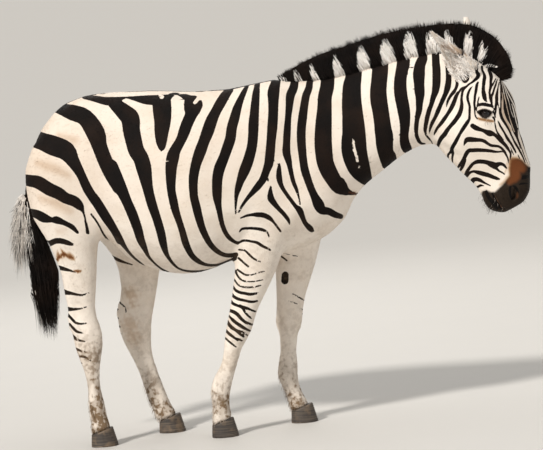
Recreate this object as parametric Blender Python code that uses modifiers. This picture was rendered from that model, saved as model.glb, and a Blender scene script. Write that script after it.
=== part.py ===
"""Plains zebra standing square with its head lowered: a still, life-size model.

Metres, +Z up. The animal faces +X and its right side is -Y. The soles lie on z = 0, and the origin is
on the floor, midway along its length. The body is lofted from named sections, melted into one skin,
and parted with thin cuts into the trunk, neck, head and legs. Ears, eyes, mane, tail and hooves are
solids of their own, with a hair's gap to what carries them.
"""

import math

import bmesh
import bpy
from mathutils import Matrix, Vector

GAP = 0.0004  # clearance between neighbouring solids
VOXEL = 0.011  # grain of the melted body
FINE_ROUNDS = 4  # of smoothing, all over
TORSO_ROUNDS = 40  # of smoothing, where muscles melt into the trunk
TORSO_FLOOR = 0.60
TORSO_FRONT = 0.45
TORSO_FADE = 0.12
TORSO_SHARE = 0.46  # of the faces kept when only the torso is thinned
BODY_SHARE = 0.098  # of the faces kept when all of it is thinned after that
RING_POINTS = 28
SIDES = {"right": -1, "left": 1}

# Sections of the body in the plane of symmetry: (x, z) of the upper or front end, (x, z) of the lower
# or rear end, and half the width there. From tail to breast, from withers to poll, from poll to lips.
TRUNK = {
    "tail_head": ((-0.868, 1.165), (-0.880, 1.030), 0.050),
    "buttock": ((-0.828, 1.222), (-0.862, 0.905), 0.130),
    "croup": ((-0.762, 1.288), (-0.800, 0.840), 0.195),
    "hip": ((-0.660, 1.323), (-0.680, 0.835), 0.235),
    "loin": ((-0.540, 1.327), (-0.550, 0.690), 0.260),
    "belly": ((-0.400, 1.321), (-0.400, 0.622), 0.285),
    "ribs": ((-0.260, 1.306), (-0.270, 0.615), 0.285),
    "girth": ((-0.120, 1.302), (-0.130, 0.655), 0.250),
    "shoulder": ((0.000, 1.317), (0.020, 0.655), 0.215),
    "withers": ((0.085, 1.322), (0.130, 0.680), 0.185),
    "chest": ((0.190, 1.220), (0.230, 0.725), 0.150),
    "breast": ((0.275, 1.030), (0.292, 0.800), 0.085),
}
NECK = {
    "withers": ((0.020, 1.300), (0.190, 0.715), 0.190),
    "shoulder": ((0.105, 1.316), (0.275, 0.760), 0.165),
    "breast": ((0.190, 1.314), (0.318, 0.840), 0.138),
    "base": ((0.290, 1.320), (0.372, 0.895), 0.118),
    "middle": ((0.400, 1.338), (0.440, 0.942), 0.104),
    "crest": ((0.520, 1.360), (0.512, 0.990), 0.094),
    "throat": ((0.625, 1.374), (0.585, 1.022), 0.086),
    "poll": ((0.720, 1.376), (0.650, 1.025), 0.080),
    "atlas": ((0.785, 1.350), (0.710, 1.050), 0.066),
}
HEAD = {
    "poll": ((0.800, 1.345), (0.725, 1.275), 0.050),
    "ears": ((0.858, 1.296), (0.672, 1.205), 0.082),
    "forehead": ((0.906, 1.248), (0.645, 1.130), 0.094),
    "brow": ((0.936, 1.192), (0.636, 1.055), 0.100),
    "eye": ((0.947, 1.130), (0.655, 1.000), 0.094),
    "cheek": ((0.952, 1.072), (0.700, 0.942), 0.082),
    "nose": ((0.956, 1.018), (0.745, 0.890), 0.066),
    "bridge": ((0.966, 0.968), (0.778, 0.852), 0.055),
    "nostril": ((0.980, 0.915), (0.796, 0.812), 0.056),
    "muzzle": ((0.985, 0.862), (0.806, 0.780), 0.057),
    "upper_lip": ((0.978, 0.818), (0.832, 0.755), 0.050),
    "lips": ((0.952, 0.780), (0.872, 0.745), 0.034),
}
# How much wider than the mean a section is at its lower or rear end.
TRUNK_SAG = 0.10
NECK_SAG = 0.34
HEAD_TAPER = -0.22

# A leg's sections: height, x of its middle, depth fore and aft, half the width.
FORE_DEPTHS = {
    "shoulder": (0.960, 0.150, 0.060),
    "arm": (0.850, 0.220, 0.082),
    "elbow": (0.720, 0.198, 0.078),
    "forearm": (0.600, 0.160, 0.060),
    "above_knee": (0.490, 0.121, 0.047),
    "knee_top": (0.435, 0.110, 0.045),
    "knee": (0.390, 0.104, 0.045),
    "knee_foot": (0.335, 0.078, 0.036),
    "cannon": (0.280, 0.067, 0.030),
    "fetlock_top": (0.225, 0.080, 0.033),
    "fetlock": (0.180, 0.080, 0.037),
    "pastern": (0.125, 0.066, 0.032),
    "coronet": (0.060, 0.080, 0.039),
    "foot": (0.030, 0.082, 0.040),
}
FORE_MIDDLES = {
    "right": (0.070, 0.010, -0.036, -0.072, -0.117, -0.138, -0.152, -0.176, -0.194, -0.222, -0.237, -0.242, -0.241, -0.240),
    "left": (0.130, 0.115, 0.090, 0.068, 0.043, 0.033, 0.026, 0.021, 0.014, 0.008, 0.003, 0.017, 0.040, 0.048),
}
HIND_SECTIONS = {
    "right": {
        "hip": (1.050, -0.760, 0.170, 0.060),
        "thigh": (0.920, -0.775, 0.245, 0.100),
        "stifle": (0.800, -0.746, 0.205, 0.088),
        "gaskin": (0.690, -0.730, 0.154, 0.064),
        "above_hock": (0.580, -0.732, 0.122, 0.046),
        "hock_top": (0.500, -0.731, 0.108, 0.038),
        "hock": (0.430, -0.718, 0.124, 0.041),
        "hock_foot": (0.365, -0.718, 0.104, 0.037),
        "cannon": (0.290, -0.716, 0.066, 0.028),
        "cannon_foot": (0.220, -0.713, 0.052, 0.027),
        "fetlock": (0.155, -0.710, 0.066, 0.034),
        "pastern": (0.105, -0.705, 0.066, 0.030),
        "coronet": (0.060, -0.700, 0.080, 0.037),
        "foot": (0.030, -0.698, 0.082, 0.038),
    },
    "left": {
        "hip": (1.050, -0.730, 0.180, 0.060),
        "thigh": (0.920, -0.690, 0.270, 0.100),
        "stifle": (0.800, -0.590, 0.250, 0.090),
        "gaskin": (0.690, -0.535, 0.190, 0.066),
        "above_hock": (0.580, -0.533, 0.150, 0.048),
        "hock_top": (0.500, -0.549, 0.142, 0.040),
        "hock": (0.440, -0.563, 0.142, 0.041),
        "hock_foot": (0.365, -0.562, 0.116, 0.036),
        "cannon": (0.300, -0.548, 0.088, 0.029),
        "cannon_foot": (0.240, -0.530, 0.078, 0.027),
        "fetlock": (0.165, -0.510, 0.078, 0.034),
        "pastern": (0.110, -0.494, 0.082, 0.031),
        "coronet": (0.060, -0.472, 0.088, 0.037),
        "foot": (0.030, -0.462, 0.088, 0.038),
    },
}
FORE_SPREAD = (0.122, 0.108)  # half the distance between a pair of legs, at the body and at the floor
HIND_SPREAD = (0.128, 0.112)

# Muscles and bones that stand out: centre, radii, and the turn about y in degrees.
MUSCLES = {
    "haunch": ((-0.735, 0.116, 1.010), (0.175, 0.114, 0.220), 0),
    "stifle_muscle": ((-0.690, 0.140, 0.900), (0.100, 0.070, 0.140), 0),
    "shoulder_blade": ((0.085, 0.105, 0.990), (0.110, 0.078, 0.210), -22),
    "upper_arm": ((0.060, 0.125, 0.850), (0.140, 0.072, 0.100), -30),
    "brow_bone": ((0.872, 0.066, 1.158), (0.045, 0.034, 0.045), 0),
    "cheek_muscle": ((0.735, 0.052, 1.080), (0.085, 0.045, 0.105), -35),
    "nostril_wing": ((0.945, 0.032, 0.880), (0.032, 0.028, 0.045), 0),
    "chin": ((0.872, 0.000, 0.772), (0.038, 0.036, 0.026), 0),
}
CENTRED = ("chin",)

EYE_CENTRE = (0.846, 0.086, 1.131)
EYE_RADIUS = 0.0215

HOOF_SOLE = (0.058, 0.046, 0.043)  # from the middle of the foot: to the toe, to the heel, half the width
HOOF_TOP = (0.041, 0.042, 0.038)
HOOF_HEIGHTS = (0.072, 0.046)  # of the coronet, at the toe and at the heel

EAR_WALL = 0.0085
EAR_RADIUS = 0.035  # of the cup, where it is widest
EAR_TIP_RADIUS = 0.004
EAR_WIDE_BASE = 0.24  # where the base and the point lie on one arch of a sine curve, from 0 to 1
EAR_POINT = 0.98
EAR_LOW_BULGE = 0.85
EAR_WRAP = (155, 70)  # half the turn of the leaf round its axis, at the base and at the tip, in degrees
EAR_CUP = 0.85
EAR_ROWS = 7
EAR_COLUMNS = 7
EARS = {
    # base, tip, and the way that the opening faces
    "right": ((0.802, -0.048, 1.268), (0.656, -0.114, 1.448), (-0.70, -0.72, -0.15)),
    "left": ((0.806, 0.046, 1.300), (0.786, 0.104, 1.496), (-0.80, 0.60, 0.00)),
}

# The mane in the plane of symmetry: its hair tips, its roots in the crest, half its thickness.
MANE = {
    "start": ((0.070, 1.332), (0.085, 1.298), 0.010),
    "rise": ((0.150, 1.374), (0.190, 1.290), 0.016),
    "neck_base": ((0.236, 1.411), (0.290, 1.296), 0.019),
    "neck": ((0.336, 1.438), (0.400, 1.314), 0.021),
    "crest": ((0.450, 1.468), (0.515, 1.336), 0.022),
    "behind_ears": ((0.590, 1.486), (0.620, 1.350), 0.022),
    "poll": ((0.745, 1.488), (0.735, 1.350), 0.023),
    "between_ears": ((0.826, 1.472), (0.782, 1.330), 0.024),
    "forelock": ((0.894, 1.424), (0.822, 1.300), 0.024),
    "fringe": ((0.940, 1.352), (0.852, 1.276), 0.023),
    "tip": ((0.960, 1.284), (0.878, 1.254), 0.019),
    "end": ((0.944, 1.250), (0.893, 1.243), 0.008),
}
DOCK = {
    "root": ((-0.830, 1.150), (-0.850, 1.080), 0.034),
    "bend": ((-0.872, 1.130), (-0.862, 1.060), 0.032),
    "fall": ((-0.912, 1.060), (-0.860, 1.010), 0.028),
    "middle": ((-0.936, 0.985), (-0.888, 0.965), 0.024),
    "end": ((-0.955, 0.932), (-0.912, 0.926), 0.021),
}
TAIL_HAIR = {
    "top": ((-0.956, 0.968), (-0.908, 0.955), 0.026),
    "side_hair": ((-0.972, 0.890), (-0.893, 0.875), 0.031),
    "full": ((-0.986, 0.770), (-0.866, 0.760), 0.042),
    "below": ((-0.984, 0.670), (-0.850, 0.660), 0.044),
    "taper": ((-0.958, 0.570), (-0.840, 0.560), 0.034),
    "tip": ((-0.905, 0.478), (-0.845, 0.474), 0.016),
}

# Thin cuts: where the neck leaves the trunk, and the head the neck.
NECK_CUT = ((0.080, 1.330), (0.290, 0.800))
HEAD_CUT = ((0.800, 1.345), (0.640, 1.010))
JOINT_ROW = {"fore": 6, "hind": 6}  # the section at the middle of the knee or hock
REGION_MARGIN = 0.015  # of a leg's space round the leg
REGION_DEEPER = 0.032  # and this much more fore and aft
REGION_OUTWARDS = 0.07  # how far that space is moved and widened outwards, through the trunk's side
REGION_FLOOR = 0.65  # above this height
REGION_END = -0.05
DOCK_MARGIN = 0.008

SLOT_OF = {"hoof": "hoof_horn", "eye": "eye_gloss", "mane": "dark_hair", "tail_hair": "dark_hair"}
COLOURS = {
    "coat": ((0.80, 0.74, 0.66), 0.75),
    "dark_hair": ((0.03, 0.025, 0.022), 0.70),
    "hoof_horn": ((0.16, 0.12, 0.09), 0.45),
    "eye_gloss": ((0.02, 0.012, 0.008), 0.08),
}


# ---- scene and small helpers ----


def clear_scene():
    for thing in list(bpy.data.objects):
        bpy.data.objects.remove(thing, do_unlink=True)


def new_collection(name, rendered=True):
    collection = bpy.data.collections.new(name)
    collection.hide_render = not rendered
    bpy.context.scene.collection.children.link(collection)
    return collection


def material(name):
    colour, roughness = COLOURS[name]
    made = bpy.data.materials.get(name) or bpy.data.materials.new(name)
    made.use_nodes = True
    shader = made.node_tree.nodes["Principled BSDF"]
    shader.inputs["Base Color"].default_value = (*colour, 1)
    shader.inputs["Roughness"].default_value = roughness
    shader.inputs["Metallic"].default_value = 0.0
    return made


def add_object(name, mesh_builder, collection):
    """A new object from a bmesh, with its faces turned outwards."""
    bmesh.ops.recalc_face_normals(mesh_builder, faces=mesh_builder.faces)
    mesh = bpy.data.meshes.new(name)
    mesh_builder.to_mesh(mesh)
    mesh_builder.free()
    thing = bpy.data.objects.new(name, mesh)
    collection.objects.link(thing)
    if collection.hide_render:
        thing.hide_render = True
        thing.display_type = "WIRE"
    return thing


def baked(thing, name, collection):
    """The object with its modifiers applied, as a new object; the old one goes."""
    bpy.context.view_layer.update()
    graph = bpy.context.evaluated_depsgraph_get()
    mesh = bpy.data.meshes.new_from_object(thing.evaluated_get(graph))
    bpy.data.objects.remove(thing, do_unlink=True)
    result = bpy.data.objects.new(name, mesh)
    mesh.name = name
    collection.objects.link(result)
    if collection.hide_render:
        result.hide_render = True
        result.display_type = "WIRE"
    return result


def copy_of(thing, name, collection):
    result = bpy.data.objects.new(name, thing.data.copy())
    collection.objects.link(result)
    return result


def boolean(thing, cutter, operation):
    cut = thing.modifiers.new(operation.lower(), "BOOLEAN")
    cut.operation = operation
    cut.solver = "EXACT"
    cut.object = cutter


# ---- lofted forms ----


def eased(rows, steps):
    """More rows between the given ones, on a smooth curve through them."""
    ends = [rows[0], *rows, rows[-1]]
    made = []
    for before, start, stop, after in zip(ends, ends[1:], ends[2:], ends[3:]):
        for step in range(steps):
            t = step / steps
            made.append(
                [
                    0.5 * (2 * b + (c - a) * t + (2 * a - 5 * b + 4 * c - d) * t**2 + (3 * b - a - 3 * c + d) * t**3)
                    for a, b, c, d in zip(before, start, stop, after)
                ]
            )
    made.append(list(rows[-1]))
    return made


def ring(front, back, y, half_width, sag, squareness, points):
    """A closed section through its two ends in the plane y, wider towards the back end by sag."""
    middle = (front + back) / 2
    reach = (front - back) / 2
    made = []
    for index in range(points):
        turn = 2 * math.pi * index / points
        along = math.copysign(abs(math.cos(turn)) ** (2 / squareness), math.cos(turn))
        across = math.copysign(abs(math.sin(turn)) ** (2 / squareness), math.sin(turn))
        width = half_width * (1 - sag * along)
        made.append(Vector((middle.x + along * reach.x, y + across * width, middle.y + along * reach.y)))
    return made


def loft(name, rows, collection, sag=0.0, squareness=2.0, points=RING_POINTS, steps=3, margin=0.0):
    """Rows are (front x, front z, back x, back z, half width, y); margin swells the whole form."""
    body = bmesh.new()
    loops = []
    for front_x, front_z, back_x, back_z, half_width, y in eased(rows, steps):
        front = Vector((front_x, front_z))
        back = Vector((back_x, back_z))
        swell = (front - back).normalized() * margin
        section = ring(front + swell, back - swell, y, half_width + margin, sag, squareness, points)
        loops.append([body.verts.new(point) for point in section])
    for end, inner in ((loops[0], loops[1]), (loops[-1], loops[-2])):
        longer = (end[0].co - inner[0].co).normalized() * margin
        for vertex in end:
            vertex.co += longer
    for lower, upper in zip(loops, loops[1:]):
        for index in range(points):
            following = (index + 1) % points
            body.faces.new((lower[index], lower[following], upper[following], upper[index]))
    bmesh.ops.triangulate(body, faces=body.faces, quad_method="FIXED")
    body.faces.new(loops[0])
    body.faces.new(list(reversed(loops[-1])))
    return add_object(name, body, collection)


def centred_rows(sections):
    return [(*front, *back, half_width, 0.0) for front, back, half_width in sections.values()]


def leg_sections(pair, side):
    if pair == "hind":
        return list(HIND_SECTIONS[side].values())
    depths = FORE_DEPTHS.values()
    return [(z, x, depth, half) for (z, depth, half), x in zip(depths, FORE_MIDDLES[side])]


def leg_y(pair, side, height, top):
    at_body, at_floor = FORE_SPREAD if pair == "fore" else HIND_SPREAD
    return SIDES[side] * (at_floor + (at_body - at_floor) * min(1, height / top))


def leg_rows(pair, side):
    sections = leg_sections(pair, side)
    top = sections[0][0]
    return [
        (x + depth / 2, z, x - depth / 2, z, half, leg_y(pair, side, z, top)) for z, x, depth, half in sections
    ]


def ellipsoid(name, centre, radii, turn, collection):
    bpy.ops.mesh.primitive_uv_sphere_add(segments=24, ring_count=16, radius=1)
    ball = bpy.context.object
    ball.name = name
    for other in ball.users_collection:
        other.objects.unlink(ball)
    collection.objects.link(ball)
    place = Matrix.Translation(centre) @ Matrix.Rotation(math.radians(turn), 4, "Y") @ Matrix.Diagonal((*radii, 1))
    ball.data.transform(place)
    return ball


# ---- the body ----


def body_forms(collection):
    forms = [
        loft("trunk_form", centred_rows(TRUNK), collection, TRUNK_SAG, 2.15),
        loft("neck_form", centred_rows(NECK), collection, NECK_SAG, 2.0),
        loft("head_form", centred_rows(HEAD), collection, HEAD_TAPER, 2.3),
        loft("dock_form", centred_rows(DOCK), collection, points=12),
    ]
    for pair in ("fore", "hind"):
        for side in SIDES:
            forms.append(loft(f"{pair}_{side}_form", leg_rows(pair, side), collection, 0.0, 2.2))
    for name, (centre, radii, turn) in MUSCLES.items():
        for sign in (0,) if name in CENTRED else (-1, 1):
            place = (centre[0], sign * centre[1], centre[2])
            forms.append(ellipsoid(f"{name}_form", place, radii, turn, collection))
    return forms


def joined(forms, name, collection):
    whole = bmesh.new()
    for form in forms:
        whole.from_mesh(form.data)
        bpy.data.objects.remove(form, do_unlink=True)
    return add_object(name, whole, collection)


def torso_weight(point):
    """1 on the trunk and the tops of the legs, falling to 0 down the legs and along the neck."""
    from_legs = (point.z - TORSO_FLOOR) / TORSO_FADE
    from_head = (TORSO_FRONT - point.x) / TORSO_FADE
    return max(0, min(1, from_legs, from_head))


def mark_torso(whole):
    torso = whole.vertex_groups.new(name="torso")
    for vertex in whole.data.vertices:
        torso.add([vertex.index], torso_weight(vertex.co), "REPLACE")


def melted(forms, collection):
    """One closed skin over all forms, its creases smoothed."""
    whole = joined(forms, "body", collection)
    remesh = whole.modifiers.new("melt", "REMESH")
    remesh.mode = "VOXEL"
    remesh.voxel_size = VOXEL
    whole = baked(whole, "body_melted", collection)
    mark_torso(whole)
    for group, rounds in (("", FINE_ROUNDS), ("torso", TORSO_ROUNDS)):
        smooth = whole.modifiers.new("ease", "SMOOTH")
        smooth.factor = 0.5
        smooth.iterations = rounds
        smooth.vertex_group = group
    return baked(whole, "body_fine", collection)


def thinned(whole, collection):
    """Few faces on the smooth torso, and then fewer on the head and legs as well."""
    for group, share in (("torso", TORSO_SHARE), ("", BODY_SHARE)):
        thin = whole.modifiers.new("thin", "DECIMATE")
        thin.ratio = share
        thin.vertex_group = group
        whole = baked(whole, "flesh", collection)
        mark_torso(whole)
    return whole


# ---- cuts ----


def slab(name, point, direction, collection, size=3.0):
    """A big box that starts at a plane: its near face passes through point, square to direction."""
    body = bmesh.new()
    bmesh.ops.create_cube(body, size=size)
    facing = Vector(direction).normalized()
    turn = facing.to_track_quat("Z", "Y").to_matrix().to_4x4()
    place = Matrix.Translation(Vector(point) + facing * size / 2) @ turn
    bmesh.ops.transform(body, matrix=place, verts=body.verts)
    return add_object(name, body, collection)


def plane_through(upper, lower):
    """A point and a direction in the plane of symmetry, square to the line between two points."""
    line = Vector((lower[0] - upper[0], lower[1] - upper[1]))
    direction = Vector((-line.y, 0, line.x))
    return Vector((upper[0], 0, upper[1])), direction.normalized()


def halves(thing, point, direction, names, collection, cutters):
    """Parts an object at a plane, with a gap: the side that direction points to, then the other."""
    result = []
    for name, sign in zip(names, (1, -1)):
        piece = copy_of(thing, name, collection)
        start = Vector(point) + Vector(direction) * sign * GAP / 2
        cutter = slab(f"{name}_cutter", start, Vector(direction) * sign, cutters)
        boolean(piece, cutter, "INTERSECT")
        result.append(baked(piece, name, collection))
    bpy.data.objects.remove(thing, do_unlink=True)
    return result


def swollen(thing, name, collection, amount=GAP):
    """A cutter a hair larger than the object all round."""
    body = bmesh.new()
    body.from_mesh(thing.data)
    body.normal_update()
    for vertex in body.verts:
        vertex.co += vertex.normal * amount * vertex.calc_shell_factor()
    return add_object(name, body, collection)


def cut_from(thing, cutter_list, collection):
    for cutter in cutter_list:
        boolean(thing, cutter, "DIFFERENCE")
    return baked(thing, thing.name, collection)


def leg_region(pair, side, collection, margin):
    """The space that a leg takes, up into the trunk."""
    rows = []
    for front_x, height, back_x, _, half_width, y in leg_rows(pair, side)[1:]:
        outwards = REGION_OUTWARDS if height > REGION_FLOOR else 0
        y += SIDES[side] * outwards
        rows.append((front_x + REGION_DEEPER, height, back_x - REGION_DEEPER, height, half_width + outwards, y))
    front_x, _, back_x, _, half_width, y = rows[-1]
    rows.append((front_x, REGION_END, back_x, REGION_END, half_width, y))
    return loft(f"{pair}_{side}_space", rows, collection, points=16, steps=1, margin=margin)


def joint_plane(pair, side):
    """The middle of the knee or hock and the direction of the leg there."""
    sections = leg_sections(pair, side)
    above, middle, below = (sections[JOINT_ROW[pair] + step] for step in (-1, 0, 1))
    direction = Vector((above[1] - below[1], 0, above[0] - below[0])).normalized()
    return Vector((middle[1], 0, middle[0])), direction


def foot_middle(pair, side):
    height, x, _, _ = leg_sections(pair, side)[-1]
    return Vector((x, leg_y(pair, side, height, 1.0), 0))


def coronet_line(pair, side):
    """Toe and heel of the hoof's upper rim, in the plane of symmetry."""
    x = foot_middle(pair, side).x
    toe_height, heel_height = HOOF_HEIGHTS
    return (x + HOOF_TOP[0], toe_height), (x - HOOF_TOP[1], heel_height)


def make_legs(torso, part, cutters):
    """Takes the four legs out of the torso and parts each at its knee or hock and above its hoof."""
    for pair in JOINT_ROW:
        for side in SIDES:
            leg = copy_of(torso, "leg", part)
            boolean(leg, leg_region(pair, side, cutters, REGION_MARGIN), "INTERSECT")
            leg = baked(leg, "leg", part)
            point, direction = joint_plane(pair, side)
            names = (f"{pair}leg_{side}", f"{pair}_shank_{side}")
            _, shank = halves(leg, point, direction, names, part, cutters)
            toe, heel = coronet_line(pair, side)
            point, downwards = plane_through(toe, heel)
            sole_side = slab(f"{pair}_{side}_hoof_space", point - downwards * GAP, downwards, cutters)
            cut_from(shank, [sole_side], part)
            make_hoof(pair, side, part)
    regions = [
        leg_region(pair, side, cutters, REGION_MARGIN + GAP) for pair in JOINT_ROW for side in SIDES
    ]
    return cut_from(torso, regions, part)


def make_tail(torso, part, cutters):
    """The dock, taken out of the torso below its root."""
    spaces = [
        loft("dock_space", centred_rows(DOCK)[1:], cutters, points=12, margin=margin)
        for margin in (DOCK_MARGIN, DOCK_MARGIN + GAP)
    ]
    tail = copy_of(torso, "tail", part)
    boolean(tail, spaces[0], "INTERSECT")
    baked(tail, "tail", part)
    return cut_from(torso, spaces[1:], part)


def make_hoof(pair, side, part):
    middle = foot_middle(pair, side)
    toe, heel = coronet_line(pair, side)
    to_toe, to_heel, sole_half = HOOF_SOLE
    rows = [
        (middle.x + to_toe, 0.0, middle.x - to_heel, 0.0, sole_half, middle.y),
        (*toe, *heel, HOOF_TOP[2], middle.y),
    ]
    return loft(f"hoof_{pair}_{side}", rows, part, squareness=2.2, points=20, steps=1)


def make_eye(side, part):
    x, y, z = EYE_CENTRE
    bpy.ops.mesh.primitive_uv_sphere_add(segments=14, ring_count=9, radius=EYE_RADIUS)
    eye = bpy.context.object
    eye.name = f"eye_{side}"
    for other in eye.users_collection:
        other.objects.unlink(eye)
    part.objects.link(eye)
    eye.data.transform(Matrix.Translation((x, SIDES[side] * y, z)) @ Matrix.Rotation(math.pi / 2, 4, "X"))
    return eye


def make_ear(side, part):
    """A leaf rolled into a cup that opens towards its tip."""
    base, tip, opening = (Vector(place) for place in EARS[side])
    axis = (tip - base).normalized()
    front = (opening - axis * opening.dot(axis)).normalized()
    across = axis.cross(front)
    length = (tip - base).length
    leaf = bmesh.new()
    bmesh.ops.create_grid(leaf, x_segments=EAR_ROWS, y_segments=EAR_COLUMNS, size=0.5)
    for vertex in leaf.verts:
        along = vertex.co.x + 0.5
        turn = 2 * vertex.co.y * math.radians(EAR_WRAP[0] + (EAR_WRAP[1] - EAR_WRAP[0]) * along)
        shape = math.sin(math.pi * (EAR_WIDE_BASE + (EAR_POINT - EAR_WIDE_BASE) * along) ** EAR_LOW_BULGE)
        width = EAR_RADIUS * shape + EAR_TIP_RADIUS
        spread = across * math.sin(turn) * width
        depth = front * (1 - math.cos(turn)) * width * EAR_CUP
        vertex.co = base + axis * along * length + spread + depth - front * width * EAR_CUP
    ear = add_object(f"ear_{side}", leaf, part)
    wall = ear.modifiers.new("wall", "SOLIDIFY")
    wall.thickness = EAR_WALL
    wall.offset = 0
    return baked(ear, f"ear_{side}", part)


def main():
    clear_scene()
    part = new_collection("zebra")
    cutters = new_collection("cutters", rendered=False)
    forms = new_collection("forms", rendered=False)
    flesh = thinned(melted(body_forms(forms), part), part)
    flesh_space = swollen(flesh, "flesh_space", cutters, 2 * GAP)

    ears = [cut_from(make_ear(side, part), [flesh_space], part) for side in SIDES]
    ear_spaces = [swollen(ear, f"{ear.name}_space", cutters) for ear in ears]
    mane = loft("mane", centred_rows(MANE), part, sag=0.1, points=8, steps=2)
    cut_from(mane, [flesh_space, *ear_spaces], part)
    tail_hair = loft("tail_hair", centred_rows(TAIL_HAIR), part, points=12, steps=2)
    cut_from(tail_hair, [flesh_space], part)

    torso_and_neck_plane = plane_through(*NECK_CUT)
    front, torso = halves(flesh, *torso_and_neck_plane, ("front", "trunk"), part, cutters)
    head, _ = halves(front, *plane_through(*HEAD_CUT), ("head", "neck"), part, cutters)
    torso = make_legs(torso, part, cutters)
    make_tail(torso, part, cutters)
    eyes = [make_eye(side, part) for side in SIDES]
    cut_from(head, [swollen(eye, f"{eye.name}_space", cutters) for eye in eyes], part)

    for thing in part.objects:
        slot = next((slot for start, slot in SLOT_OF.items() if thing.name.startswith(start)), "coat")
        thing.data.materials.clear()
        thing.data.materials.append(material(slot))
        thing.data.shade_smooth()


main()
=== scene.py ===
import math

import bmesh
import bpy
import numpy as np
from mathutils import Matrix, Vector


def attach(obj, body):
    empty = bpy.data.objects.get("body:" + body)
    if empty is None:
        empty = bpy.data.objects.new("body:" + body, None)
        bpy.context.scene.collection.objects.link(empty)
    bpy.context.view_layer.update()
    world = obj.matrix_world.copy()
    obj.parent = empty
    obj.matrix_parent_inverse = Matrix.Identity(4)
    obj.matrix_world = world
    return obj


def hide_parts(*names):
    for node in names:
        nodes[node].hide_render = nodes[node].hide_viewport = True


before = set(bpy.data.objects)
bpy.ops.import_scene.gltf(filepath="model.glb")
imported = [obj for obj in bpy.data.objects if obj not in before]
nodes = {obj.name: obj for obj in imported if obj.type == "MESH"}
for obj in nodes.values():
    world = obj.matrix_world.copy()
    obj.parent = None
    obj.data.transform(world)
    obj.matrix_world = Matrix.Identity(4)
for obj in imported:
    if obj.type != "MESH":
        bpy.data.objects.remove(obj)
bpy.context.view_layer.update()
rng = np.random.default_rng(7)
sceneRoot = bpy.context.scene.collection
millimetre = 0.001
sides = {"right": -1, "left": 1}
print("frame loaded,", len(nodes), "solids")

# ---- camera, floor and light ----
view = {
    "target": (-0.0008, 0.0, 0.7723),
    "distance": 12.0,
    "azimuth": 4.0,
    "elevation": 5.0,
    "roll": 5.0,
    "lens": 210.83,
    "sensor": 36,
    "clipEnd": 900,
}


def makeCamera():
    az, el = math.radians(view["azimuth"]), math.radians(view["elevation"])
    back = Vector((math.sin(az) * math.cos(el), -math.cos(az) * math.cos(el), math.sin(el)))
    camera = bpy.data.objects.new("camera", bpy.data.cameras.new("camera"))
    camera.data.lens = view["lens"]
    camera.data.sensor_width = view["sensor"]
    camera.data.clip_end = view["clipEnd"]
    level = back.to_track_quat("Z", "Y").to_matrix().to_4x4()
    turn = level @ Matrix.Rotation(math.radians(-view["roll"]), 4, "Z")
    camera.matrix_world = Matrix.Translation(Vector(view["target"]) + back * view["distance"]) @ turn
    sceneRoot.objects.link(camera)
    bpy.context.scene.camera = camera
    return camera.location.copy()


eyePoint = makeCamera()


def makeMesh(name, bm):
    mesh = bpy.data.meshes.new(name)
    bm.to_mesh(mesh)
    bm.free()
    piece = bpy.data.objects.new(name, mesh)
    sceneRoot.objects.link(piece)
    return piece


studio = {
    "floorSize": 220.0,
    "floorColours": ((0.62, 0.60, 0.57), (0.56, 0.55, 0.53)),
    "skyColour": (0.90, 0.89, 0.865),
    "skyStrength": 0.47,
    # place, strength, spread in degrees, colour
    "sun": ((-3.0, -4.2, 5.0), 3.0, 7.0, (1.0, 0.965, 0.915)),
    # place, size, power, colour
    "lamps": {
        "fill": ((4.2, -3.6, 2.6), 3.0, 22.0, (0.94, 0.97, 1.0)),
        "top": ((0.2, 0.6, 5.2), 3.6, 45.0, (1.0, 0.99, 0.97)),
        "back": ((-1.0, 5.0, 3.6), 3.0, 55.0, (1.0, 0.98, 0.95)),
    },
    "aim": (0.0, 0.0, 0.9),
}


def makeLight(name, kind, place, settings):
    # a light that shines from this place towards the animal
    light = bpy.data.lights.new(name, kind)
    for key, value in settings.items():
        setattr(light, key, value)
    holder = bpy.data.objects.new(name, light)
    aim = Vector(studio["aim"]) - Vector(place)
    holder.matrix_world = Matrix.Translation(place) @ aim.to_track_quat("-Z", "Y").to_matrix().to_4x4()
    sceneRoot.objects.link(holder)


def makeStudio():
    bm = bmesh.new()
    bmesh.ops.create_grid(bm, x_segments=2, y_segments=2, size=studio["floorSize"])
    floor = makeMesh("floor", bm)
    floor.data.materials.append(floorFinish())
    world = bpy.data.worlds.new("studio")
    world.use_nodes = True
    sky = world.node_tree.nodes["Background"]
    sky.inputs["Color"].default_value = (*studio["skyColour"], 1)
    sky.inputs["Strength"].default_value = studio["skyStrength"]
    bpy.context.scene.world = world
    for name, (place, size, power, colour) in studio["lamps"].items():
        makeLight(name, "AREA", place, {"shape": "SQUARE", "size": size, "energy": power, "color": colour})
    place, power, spread, colour = studio["sun"]
    makeLight("sun", "SUN", place, {"energy": power, "angle": math.radians(spread), "color": colour})
    bpy.context.scene.view_settings.view_transform = "Standard"


# ---- finishes ----
class Wire:
    # a value in a material, so that sums can be written as sums
    def __init__(self, finish, socket):
        self.finish = finish
        self.socket = socket

    def sum(self, kind, other, swap=False):
        pair = (other, self) if swap else (self, other)
        return self.finish.node("ShaderNodeMath", {"operation": kind}, pair[0], pair[1])

    def __add__(self, other):
        return self.sum("ADD", other)

    def __radd__(self, other):
        return self.sum("ADD", other, True)

    def __sub__(self, other):
        return self.sum("SUBTRACT", other)

    def __rsub__(self, other):
        return self.sum("SUBTRACT", other, True)

    def __mul__(self, other):
        return self.sum("MULTIPLY", other)

    def __rmul__(self, other):
        return self.sum("MULTIPLY", other, True)

    def __truediv__(self, other):
        return self.sum("DIVIDE", other)

    def clamp(self):
        return self.finish.node("ShaderNodeClamp", {}, self, 0.0, 1.0)


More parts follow.
